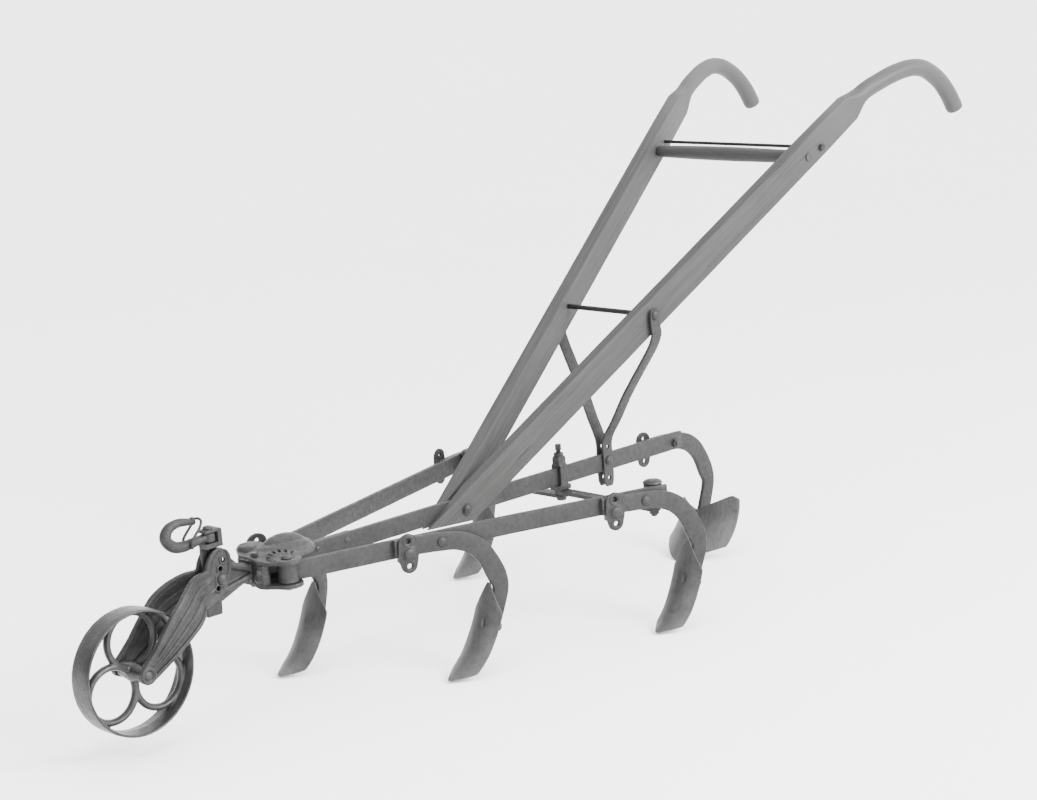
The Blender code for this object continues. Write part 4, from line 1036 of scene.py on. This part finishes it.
def build_top_plate(top):
    """The right half carries a low dome; ribs and slots surround the left hinge."""
    dome = [(0.0, 0.0272), (0.006, 0.0274), (0.0095, 0.0262), (0.0125, 0.0232),
            (0.0145, 0.018), (0.0154, 0.01), (0.0156, 0.001)]
    parts = [slab(head_outline(), top, top + 0.006, level),
             turned((PIVOT_X, PIVOT_Y, top), UP, dome, 60),
             lump((-0.604, 0.016, top), (0.05, 0.03, 0.0275)),
             lump((-0.612, 0.012, top), (0.066, 0.042, 0.019)),
             lump((-0.622, 0.006, top), (0.074, 0.052, 0.0125))]
    collar = [(0.0, 0.0262), (0.0058, 0.0262), (0.0072, 0.025), (0.0078, 0.0225),
              (0.0078, 0.015), (0.007, 0.0125)]
    parts.append(turned((PIVOT_X, -PIVOT_Y, top), UP, collar, 56))
    hub = Vector((PIVOT_X, -PIVOT_Y, top + 0.0062))
    inner = 0.0205
    for k, outer in enumerate((0.034, 0.037, 0.04, 0.041, 0.04, 0.037, 0.034, 0.03)):
        turn = math.radians(24.0 + 20.0 * k)
        spoke = Vector((math.cos(turn), math.sin(turn), 0.0))
        rib = [hub + spoke * (inner + (outer - inner) * j / 6) for j in range(7)]
        parts.append(tube(rib, [0.0026, 0.0034, 0.0036, 0.0036, 0.0036, 0.0034, 0.0024], 14))
    cuts = [upright_bore(PIVOT_X, -PIVOT_Y, top - 0.02, top + 0.03, 0.0066),
            upright_bore(HEAD_BOLT_X, 0.0, top - 0.02, top + 0.03, 0.0062),
            slab(rectangle(-0.76, -0.12, -0.5, 0.12), top - 0.06, top + 0.0001, level)]
    slot = ((-1, -0.6), (-0.6, -0.9), (0.6, -1), (1, -0.7), (1, 0.7), (0.6, 1), (-0.6, 0.9),
            (-1, 0.6))
    for k in range(6):
        turn = math.radians(34.0 + 20.0 * k)
        spoke = Vector((math.cos(turn), math.sin(turn)))
        across = Vector((-spoke.y, spoke.x))
        centre = Vector((PIVOT_X, -PIVOT_Y)) + spoke * 0.033
        loop = [tuple(centre + spoke * a * 0.0042 + across * b * 0.003) for a, b in slot]
        cuts.append(slab(loop, top - 0.01, top + 0.02, level))
    edge = [(u, v, top + 0.005) for u, v in
            ((-0.6975, 0.022), (-0.6975, -0.022), (-0.6905, -0.036))]
    parts.append(tube(smooth_path(edge, 6), 0.0046, 16))
    casting("head_top_plate", parts, cuts, 0.0009, 0.0005, warp=head_warp)


def build_nose(side, word, low, high):
    """Rough block of the head casting in front of a hinge, between the two plates."""
    outline = [(-0.6985, 0.013), (-0.6985, 0.025), (-0.6935, 0.0345), (-0.683, 0.0385),
               (-0.676, 0.034), (-0.6735, 0.024), (-0.677, 0.013)]
    parts = [slab([(u, side * v) for u, v in outline], low, high, level)]
    route = ((-0.6975, 0.015), (-0.6975, 0.0245), (-0.693, 0.033), (-0.6835, 0.037))
    for k in range(4):
        z = low + 0.006 + 0.0082 * k
        band = [(u, side * v, z + 0.0012 * (k % 2)) for u, v in route]
        parts.append(tube(smooth_path(band, 5), 0.0016, 12))
    parts.append(rivet(Vector((-0.695, side * 0.0265, 0.5 * (low + high) + 0.004)),
                       Vector((-0.8, side * 0.6, 0.0)), 0.0062, 0.007))
    add_piece("head_nose_" + word, parts, "frame", CAST, voxel=0.001, relax=3, lumps=0.0011,
              warp=head_warp)


def build_bottom_plate(bottom):
    parts = [slab(head_outline(), bottom - PLATE_THICK + 0.0016, bottom, level)]
    disc = [(0.0, 0.0256), (0.005, 0.0262), (0.0078, 0.0252), (0.009, 0.0226)]
    parts += [turned((PIVOT_X, side * PIVOT_Y, bottom), -UP, disc, 56) for side in (-1, 1)]
    web = [Vector((u, -0.004, bottom - 0.006)) for u in (-0.696, -0.68, -0.66, -0.64)]
    parts.append(tube(web, 0.0055, 16))
    cuts = [upright_bore(PIVOT_X, side * PIVOT_Y, bottom - 0.03, bottom + 0.02, 0.0066)
            for side in (-1, 1)]
    casting("head_bottom_plate", parts, cuts, 0.001, 0.0004, warp=head_warp)


def build_head():
    top = BEAM_Z + BAR_HEIGHT / 2 + GAP
    bottom = BEAM_Z - BAR_HEIGHT / 2 - GAP
    build_top_plate(top)
    for side, word in SIDES:
        build_nose(side, word, bottom - 0.0004, top + 0.0004)
    build_bottom_plate(bottom)
    for side, word in SIDES:
        lower = hinge_drop(side, 0.0)
        shape = bolt((PIVOT_X, side * PIVOT_Y, top + PLATE_THICK - 0.0008 - lower),
                     (PIVOT_X, side * PIVOT_Y, bottom - PLATE_THICK - lower), 0.0062,
                     (0.01, 0.005), (0.0085, 0.005), 0.001)
        stand_in("pivot_bolt_" + word, [shape], STEEL)
    shape = bolt((HEAD_BOLT_X, 0.0, top + 0.0068), (HEAD_BOLT_X, 0.0, bottom - PLATE_THICK + 0.002),
                 0.0058, (0.009, 0.007), (0.0085, 0.0055), 0.001, "square")
    stand_in("head_bolt", [shape], STEEL)


def build_neck():
    """Web with a rolled rim and two ribs in front of the beam, and the tang along the beam."""
    half = BAR_HEIGHT / 2
    web = [(-0.7, BEAM_Z - 0.013), (-0.742, 0.232)]
    web += arc(-0.766, 0.24, 0.016, -60.0, -170.0, 12)
    web += [(-0.786, 0.262), (-0.781, 0.296)]
    web += arc(-0.762, 0.305, 0.017, 170.0, 20.0, 14)
    web += [(-0.738, 0.3), (-0.715, 0.275), (-0.7, BEAM_Z + 0.007),
            (-0.69, BEAM_Z + 0.007), (-0.69, BEAM_Z - 0.013)]
    parts = [slab(web, -WEB_THICK / 2 + 0.001, WEB_THICK / 2 - 0.001, upright)]
    rim = []
    for first, second in zip(web[:-3], web[1:]):
        first, second = Vector(first), Vector(second)
        steps = max(1, int((second - first).length / 0.003))
        rim += [first.lerp(second, j / steps) for j in range(steps)]
    centre = Vector((-0.757, 0.268))
    rim = [point + (centre - point).normalized() * 0.0034 for point in rim]
    parts.append(tube([Vector((point.x, 0.0, point.y)) for point in rim], 0.0039, 12))
    block = [(-0.701, -0.012), (-0.657, -0.012), (-0.657, 0.0053), (-0.455, 0.0053),
             (-0.455, 0.0113), (-0.65, 0.0113), (-0.701, 0.012)]
    parts.append(slab(block, BEAM_Z - half + GAP, BEAM_Z + half - GAP, level))
    widths = [0.0056, 0.0062, 0.0066, 0.0068, 0.0068, 0.0068, 0.007, 0.0072, 0.0074]
    for front, back in (((-0.76, 0.2905), (-0.697, 0.27)), ((-0.764, 0.242), (-0.697, 0.255))):
        start, end = (Vector((u, y, v)) for (u, v), y in ((front, -0.002), (back, -0.0045)))
        parts.append(tube([start.lerp(end, k / 8) for k in range(9)], widths, 16))
    cuts = [bore(x, z, -0.02, 0.0039, 0.005) for x, z in
            ((-0.752, 0.2985), (-0.7595, 0.284), (-0.7675, 0.25))]
    cuts += [bore(FORK_X, FORK_Z, -0.02, 0.02, PIN_BORE),
             upright_bore(HEAD_BOLT_X, 0.0, BEAM_Z - 0.03, BEAM_Z + 0.03, 0.0061)]
    casting("neck_bracket", parts, cuts, 0.001, 0.00025)


def build_draft_bar():
    """Flat bar on the neck's right face, with a clevis block for the hook on top."""
    near = WEB_THICK / 2 + GAP
    path = straight((DRAFT_X, DRAFT_BOTTOM), (DRAFT_X, CLEVIS_BOTTOM + 0.004), 16)
    bar = edge_bar(path, [DRAFT_WIDTH / 2] * len(path), near, near + 0.008, upright)
    front, back, crest = CLEVIS_FRONT_X - 0.003, CLEVIS_BACK_X + 0.005, CLEVIS_TOP - 0.0002
    block = [(front, CLEVIS_BOTTOM), (back, CLEVIS_BOTTOM)]
    block += arc(back - 0.004, crest - 0.004, 0.004, 0.0, 90.0, 6)
    block += arc(front + 0.002, crest - 0.002, 0.002, 90.0, 180.0, 4)
    jaw = slab(block, -CLEVIS_HALF - 0.0012, CLEVIS_HALF + 0.0006, upright)
    mouth = slab(rectangle(front - 0.01, HOOK_Z - 0.0095, back - 0.009, HOOK_Z + 0.0095),
                 -0.03, 0.03, upright)
    hole = upright_bore(HOOK_PIN_X, 0.0, CLEVIS_BOTTOM - 0.02, CLEVIS_TOP + 0.02, PIN_BORE)
    casting("draft_bar", [bar, jaw], [mouth, hole], 0.0009, 0.0002, 2)
    steps = [(-0.0004, 0.002), (0.0002, 0.0062), (0.0012, 0.008), (0.0026, 0.009),
             (0.005, 0.0088), (0.005, PIN_RADIUS), (0.0405, PIN_RADIUS)]
    pin = turned((HOOK_PIN_X, 0.0, CLEVIS_TOP + GAP + 0.005), -UP, steps, 36)
    stand_in("hook_pin", [pin], STEEL)


def build_hook():
    """C-shaped hook with an eye round its pin, and the wire keeper across its mouth."""
    route = [(HOOK_PIN_X - 0.008, HOOK_Z), (-0.803, 0.3437), (-0.833, 0.341),
             (-0.855, 0.3462), (-0.8685, 0.3625), (-0.861, 0.3785), (-0.842, 0.3845),
             (-0.824, 0.383), (-0.806, 0.379)]
    widths = [0.008, 0.0086, 0.01, 0.0105, 0.0105, 0.0095, 0.008, 0.007, 0.0056]
    curve = smooth_path([(u, width, v) for (u, v), width in zip(route, widths)], 8)
    path = [Vector((point.x, 0.0, point.z)) for point in curve]
    shank = tube(path, [point.y for point in curve], 24)
    tip = rivet(path[-1] - (path[-1] - path[-2]).normalized() * 0.0004, path[-1] - path[-2],
                0.0055, 0.004)
    eye = turned((HOOK_PIN_X, 0.0, HOOK_Z - 0.008), UP,
                 both_ways(0.016, [(0.0, 0.0102), (0.0014, 0.0122)]))
    knob = turned((-0.809, 0.0, 0.3805), UP, [(0.0, 0.005), (0.003, 0.0058), (0.0062, 0.0052),
                                              (0.008, 0.003), (0.0086, 0.0008)], 28)
    hole = upright_bore(HOOK_PIN_X, 0.0, HOOK_Z - 0.03, HOOK_Z + 0.03, PIN_BORE)
    casting("draft_hook", [shank, tip, eye, knob], [hole], 0.0008, 0.0003)
    end_x, end_z = KEEPER_X + 0.0265, KEEPER_Z + 0.0425
    half = [(KEEPER_X, KEEPER_LEG, KEEPER_Z - 0.003), (KEEPER_X + 0.002, KEEPER_LEG, KEEPER_Z + 0.012),
            (end_x - 0.007, KEEPER_LEG, end_z - 0.012), (end_x, KEEPER_LEG - 0.004, end_z)]
    wire = smooth_path([(x, -y, z) for x, y, z in half] + half[::-1], 6)
    stand_in("hook_keeper", [tube(wire, 0.0025, 14)], STEEL)


# ---- handles and braces -------------------------------------------------------------
def handle_path():
    """The right handle's centre line, and how many of its points lie in the plank."""
    along = HANDLE_HIGH - HANDLE_LOW
    plank = [HANDLE_LOW + along * (-0.16 + 0.04 * k) for k in range(28)]
    return plank + smooth_path((HANDLE_LOW + along * 0.985,) + GRIP_ROUTE, 8), len(plank)


def build_handle(side, word):
    """A plank that is rounded and bent into a grip; its foot lies flat on the beam."""
    path, plank_count = handle_path()
    rings = []
    for k, (point, tangent) in enumerate(zip(path, tangents(path))):
        blend = ease((k - plank_count + 2) / 9.0)
        thin = UP.cross(tangent).normalized()
        deep = tangent.cross(thin).normalized()
        sizes = [flat * (1.0 - blend) + GRIP_RADIUS * blend
                 for flat in (HANDLE_THICK / 2, HANDLE_DEPTH / 2, 0.0018)]
        if k == len(path) - 1:
            sizes = [size * 0.94 for size in sizes]
        rings.append([mirrored(point + thin * a + deep * b, side)
                      for a, b in rounded(*sizes, 6)])
    bm = loft(rings)
    flank = Vector((0.0, side * (BAR_THICK / 2 + GAP), 0.0))
    foot = Vector((0.0, 0.0, HANDLE_FOOT_Z))
    for point, normal in ((flank, Vector((0.0, side, 0.0))), (foot, UP)):
        everything = bm.verts[:] + bm.edges[:] + bm.faces[:]
        cut = bmesh.ops.bisect_plane(bm, geom=everything, plane_co=point, plane_no=normal,
                                     clear_inner=True)
        edges = [item for item in cut["geom_cut"] if isinstance(item, bmesh.types.BMEdge)]
        bmesh.ops.holes_fill(bm, edges=edges, sides=0)
    piece = stand_in("handle_" + word, [bm], WOOD, lumps=0.0003, lump_scale=14.0)
    add_grain(piece, [mirrored(point, side) for point in path], side * 3.7)


def add_grain(piece, path, seed):
    """Store each point's place along and across the wood, for the grain."""
    lengths = [0.0]
    for first, second in zip(path, path[1:]):
        lengths.append(lengths[-1] + (second - first).length)
    directions = tangents(path)
    grain = piece.data.attributes.new("grain", "FLOAT_VECTOR", "POINT")
    for vertex in piece.data.vertices:
        k = min(range(len(path)), key=lambda n: (path[n] - vertex.co).length_squared)
        offset = vertex.co - path[k]
        across, deep = frame_for(directions[k])
        grain.data[vertex.index].vector = (lengths[k] + offset.dot(directions[k]),
                                           offset.dot(across) + seed, offset.dot(deep))


def handle_face(x, outer):
    """How far out a handle's inner or outer face lies at x."""
    slope = (HANDLE_HIGH.y - HANDLE_LOW.y) / (HANDLE_HIGH.x - HANDLE_LOW.x)
    middle = HANDLE_LOW.y + slope * (x - HANDLE_LOW.x)
    half = HANDLE_THICK / 2 * math.sqrt(1.0 + slope * slope)
    return middle + half if outer else middle - half


def build_crosspiece():
    """Turned dowel between the handles, thicker in the middle, with a tenon at each end."""
    inside = handle_face(CROSSPIECE_X, False) - 0.0032
    tenon = handle_face(CROSSPIECE_X, True) + 0.002
    steps = [(-tenon, 0.0082), (-tenon + 0.001, 0.009), (-inside, 0.009), (-inside, 0.0112),
             (-inside + 0.002, 0.0126)]
    for t in (k / 24 for k in range(1, 24)):
        swell = math.sin(math.pi * t)
        steps.append((-inside + 0.002 + (2 * inside - 0.004) * t,
                      0.0128 + 0.0024 * swell - 0.0004 * t))
    steps += [(inside - 0.002, 0.0122), (inside, 0.0112), (inside, 0.009), (tenon - 0.001, 0.009),
              (tenon, 0.0082)]
    shape = turned((CROSSPIECE_X, 0.0, CROSSPIECE_Z), SIDEWAYS, steps)
    dowel = stand_in("crosspiece", [shape], WOOD, lumps=0.0002, lump_scale=30.0)
    ends = [(CROSSPIECE_X, y, CROSSPIECE_Z) for y in (-tenon, tenon)]
    add_grain(dowel, straight(*ends, 24), 9.1)


def build_handle_links():
    out = handle_face(HANDLE_BOLT_X, True) + 0.0032
    cross_bolt("handle_bolt", HANDLE_BOLT_X, BEAM_Z, (-out, out), PIN_RADIUS,
               (0.011, 0.0055), NUT, 0.004)
    build_crosspiece()
    out = handle_face(CROSS_ROD_X, True) + 0.0022
    cross_bolt("crosspiece_rod", CROSS_ROD_X, CROSS_ROD_Z, (-out, out), 0.0034, (0.0075, 0.005),
               (0.0075, 0.005), 0.003, style="hex")
    seat = handle_face(TIE_ROD_X + 0.011, True) + BRACE_THICK / 2 + GAP
    out = seat + BRACE_THICK / 2 + GAP
    cross_bolt("handle_tie_rod", TIE_ROD_X, TIE_ROD_Z, (-out, out), PIN_RADIUS,
               (0.0105, 0.006), NUT, 0.004)
    for side, word in SIDES:
        build_brace(side, word, seat)
    out = BAR_THICK / 2 + BRACE_THICK + 3 * GAP
    cross_bolt("brace_bolt", BRACE_X, BEAM_Z + 0.004, (-out, out), PIN_RADIUS,
               (0.0095, 0.006), NUT, 0.004)


def build_brace(side, word, seat):
    """Flat strap from the handle's outer face, turned inwards, down to the beam."""
    foot = BAR_THICK / 2 + BRACE_THICK / 2 + 2 * GAP
    route = [(TIE_ROD_X, seat, TIE_ROD_Z + 0.012), (TIE_ROD_X, seat, TIE_ROD_Z - 0.02),
             (TIE_ROD_X + 0.002, seat - 0.001, 0.528), (0.247, 0.124, 0.5),
             (0.24, 0.095, 0.455), (0.233, 0.063, 0.405), (0.226, 0.033, 0.35),
             (0.222, 0.0145, 0.32), (BRACE_X, foot, 0.3), (BRACE_X, foot, 0.27),
             (BRACE_X, foot, 0.213)]
    path = smooth_path(route, 7)
    rings = []
    for k, (point, tangent) in enumerate(zip(path, tangents(path))):
        wide = Vector((1.0, 0.0, 0.0))
        wide = (wide - tangent * wide.dot(tangent)).normalized()
        thin = tangent.cross(wide)
        ends = min(k, len(path) - 1 - k)
        narrow = (0.62, 0.9, 0.98)[ends] if ends < 3 else 1.0
        rings.append([mirrored(point + wide * a + thin * b, side) for a, b in
                      rounded(BRACE_WIDTH / 2 * narrow, BRACE_THICK / 2, 0.0012)])
    cuts = [bore(BRACE_X, z, side * 0.001, side * 0.05, 0.0042) for z in (0.2945, 0.23)]
    stand_in("brace_" + word, [loft(rings)], BAR, cuts=cuts, lumps=0.0002, lump_scale=40.0)


# ---- expander -----------------------------------------------------------------------
def build_expander():
    """A clamp that slides on the beam, its screw on top and its pin below, and two links."""
    half = BAR_HEIGHT / 2
    low, high = LINK_TOP[-1] + 0.0008, 0.304
    wide, tall = BAR_THICK / 2 + 0.0005, half + 0.0005

    def place(u, v, height):
        return Vector((EXPANDER_X + height, u, v))

    flank = [(EXPANDER_HALF, low), (EXPANDER_HALF, 0.2835), (0.0095, 0.288),
             (0.0088, high - 0.002)]
    ring = flank + [(-u, v) for u, v in flank[::-1]]
    neck = turned((EXPANDER_X, 0.0, 0.288), UP,
                  [(0.0, 0.011), (0.006, 0.0096), (0.014, 0.009), (0.0165, 0.01),
                   (0.0205, 0.0096), (0.0215, 0.008)], 36)
    foot = slab(rectangle(-0.0135, low, 0.0135, low + 0.01), -0.0165, 0.0165, place)
    window = rectangle(-wide, BEAM_Z - tall, wide, BEAM_Z + tall)
    cuts = [slab(window, -0.03, 0.03, place),
            upright_bore(EXPANDER_X, 0.0, BEAM_Z + half - 0.01, high + 0.02, PIN_BORE),
            upright_bore(EXPANDER_X, 0.0, low - 0.01, BEAM_Z - half + 0.005, PIN_BORE)]
    casting("expander_clamp", [slab(ring, -0.01, 0.01, place), neck, foot], cuts, 0.0009,
            0.00025)
    steps = [(0.0, 0.0032), (0.002, 0.0048)] + thread_steps(0.004, 0.03, 0.005, 0.0014)
    steps += [(0.0345, 0.0044), (0.0355, 0.007)] + nut_steps(0.0355, 0.0105, 0.0085, 4)
    screw = turned((EXPANDER_X, 0.0, BEAM_Z + half + 0.0008), UP, steps)
    stand_in("set_screw", [screw], STEEL)
    bottom = LINK_TOP[1] - LINK_THICK
    steps = [(0.0, 0.004), (0.0006, 0.0075), (0.002, 0.0098), (0.007, 0.01),
             (0.007, PIN_RADIUS), (0.0305, PIN_RADIUS)]
    pin = turned((EXPANDER_X, 0.0, bottom - GAP - 0.007), UP, steps, 36)
    stand_in("expander_pin", [pin], STEEL)
    for side, word in SIDES:
        build_link(side, word)


def build_link(side, word):
    """Flat link from the clamp's pin to a side bar's end pin, and the nut under its outer end."""
    inner = Vector((EXPANDER_X, 0.0))
    pin = side_point(side, END_PIN_S, -END_PIN_INSET, 0.0)
    outer = Vector((pin.x, pin.y))
    along = (outer - inner).normalized()
    turn = math.degrees(math.atan2(along.y, along.x))
    outline = arc(inner.x, inner.y, LINK_WIDTH / 2, turn + 90.0, turn + 270.0, 28)
    outline += arc(outer.x, outer.y, LINK_WIDTH / 2, turn - 90.0, turn + 90.0, 28)
    hole = [(inner.x + PIN_BORE * math.cos(angle), inner.y + PIN_BORE * math.sin(angle))
            for angle in around(32)]
    top = LINK_TOP[side]
    plate = slab(outline, top - LINK_THICK, top, level, [hole])
    stand_in("link_" + word, [plate], BAR, bevel=0.0012)
    steps = [(0.0, 0.0085)] + nut_steps(0.0004, 0.0066, 0.01)
    steps += thread_steps(0.007, 0.004, 0.0058)
    nut = turned((outer.x, outer.y, top - LINK_THICK - 0.0001), -UP, steps)
    add_piece("link_nut_" + word, [nut], body_of("link_" + word), STEEL)


# ---- stage --------------------------------------------------------------------------
def build_stage():
    """Floor that curves up into a backdrop behind the machine, square to the camera."""
    bm = bmesh.new()
    rows = []
    bend = 0.55     # where the floor ends and the curve begins
    for k in range(40):
        t = k / 39
        y, z = -8.0 + 24.0 * t, 0.0
        if t >= bend:
            turn = (t - bend) / 0.45 * math.pi / 2
            y, z = 5.2 + 6.0 * math.sin(turn), 6.0 * (1.0 - math.cos(turn))
        rows.append([bm.verts.new((x, y, z - 0.0005)) for x in (-14.0, 14.0)])
    for first, second in zip(rows, rows[1:]):
        bm.faces.new((first[0], first[1], second[1], second[0]))
    floor = new_object("floor", bm)
    floor.data.shade_smooth()
    floor.data.materials.append(floor_finish("floor_paint"))
    floor.rotation_euler = (0.0, 0.0, -CAMERA_YAW)


def area_light(name, place, target, size, power):
    data = bpy.data.lights.new(name, "AREA")
    data.shape = "RECTANGLE"
    data.size, data.size_y = size
    data.energy = power
    light = bpy.data.objects.new(name, data)
    light.location = place
    light.rotation_euler = (Vector(target) - Vector(place)).to_track_quat("-Z", "Y").to_euler()
    bpy.context.scene.collection.objects.link(light)


def build_camera():
    yaw, pitch, roll = CAMERA_YAW, CAMERA_PITCH, CAMERA_ROLL
    ahead = Vector((math.sin(yaw) * math.cos(pitch), math.cos(yaw) * math.cos(pitch),
                    -math.sin(pitch)))
    right = Vector((math.cos(yaw), -math.sin(yaw), 0.0))
    up = right.cross(ahead)
    across = right * math.cos(roll) + up * math.sin(roll)
    upward = -right * math.sin(roll) + up * math.cos(roll)
    data = bpy.data.cameras.new("camera")
    data.lens = CAMERA_LENS
    data.sensor_width = 36.0
    data.sensor_fit = "HORIZONTAL"
    data.clip_end = 60.0
    camera = bpy.data.objects.new("camera", data)
    turn = Matrix((across, upward, -ahead)).transposed()
    camera.matrix_world = Matrix.Translation(CAMERA_PLACE) @ turn.to_4x4()
    bpy.context.scene.collection.objects.link(camera)
    bpy.context.scene.camera = camera


def build_lights():
    """A soft room that is brighter above and to the right of the camera, and two lamps."""
    world = bpy.data.worlds.new("studio")
    world.use_nodes = True
    nodes, links = world.node_tree.nodes, world.node_tree.links
    back = nodes["Background"]
    back.inputs["Color"].default_value = (1.0, 1.0, 1.0, 1.0)
    where = nodes.new("ShaderNodeTexCoord")
    dot = nodes.new("ShaderNodeVectorMath")
    dot.operation = "DOT_PRODUCT"
    dot.inputs[1].default_value = Vector((0.55, -0.62, 0.56)).normalized()
    span = nodes.new("ShaderNodeMapRange")
    span.interpolation_type = "SMOOTHSTEP"
    for key, value in (("From Min", -0.75), ("From Max", 0.95), ("To Min", 0.9), ("To Max", 5.6)):
        span.inputs[key].default_value = value
    links.new(where.outputs["Generated"], dot.inputs[0])
    links.new(dot.outputs["Value"], span.inputs["Value"])
    links.new(span.outputs["Result"], back.inputs["Strength"])
    bpy.context.scene.world = world
    area_light("key", (0.9, -4.2, 2.6), (0.0, 0.0, 0.3), (2.0, 1.8), 520.0)
    area_light("rim", (-4.0, -0.4, 2.6), (-0.3, 0.0, 0.2), (0.8, 1.2), 60.0)


build_bars()
for side, word in SIDES:
    for end, station in zip(("_front", "_rear"), SIDE_STATIONS[side]):
        build_tool(word + end, side, station, side_point, CLAMP_DROP[side], add_tooth)
    build_handle(side, word)
build_tool("centre_rear", 1, REAR_TOOL_S, beam_point, BEAM_CLAMP_DROP, add_shovel)
build_wheel()
build_fork()
build_head()
build_neck()
build_draft_bar()
build_hook()
build_handle_links()
build_expander()
build_camera()
build_lights()
build_stage()
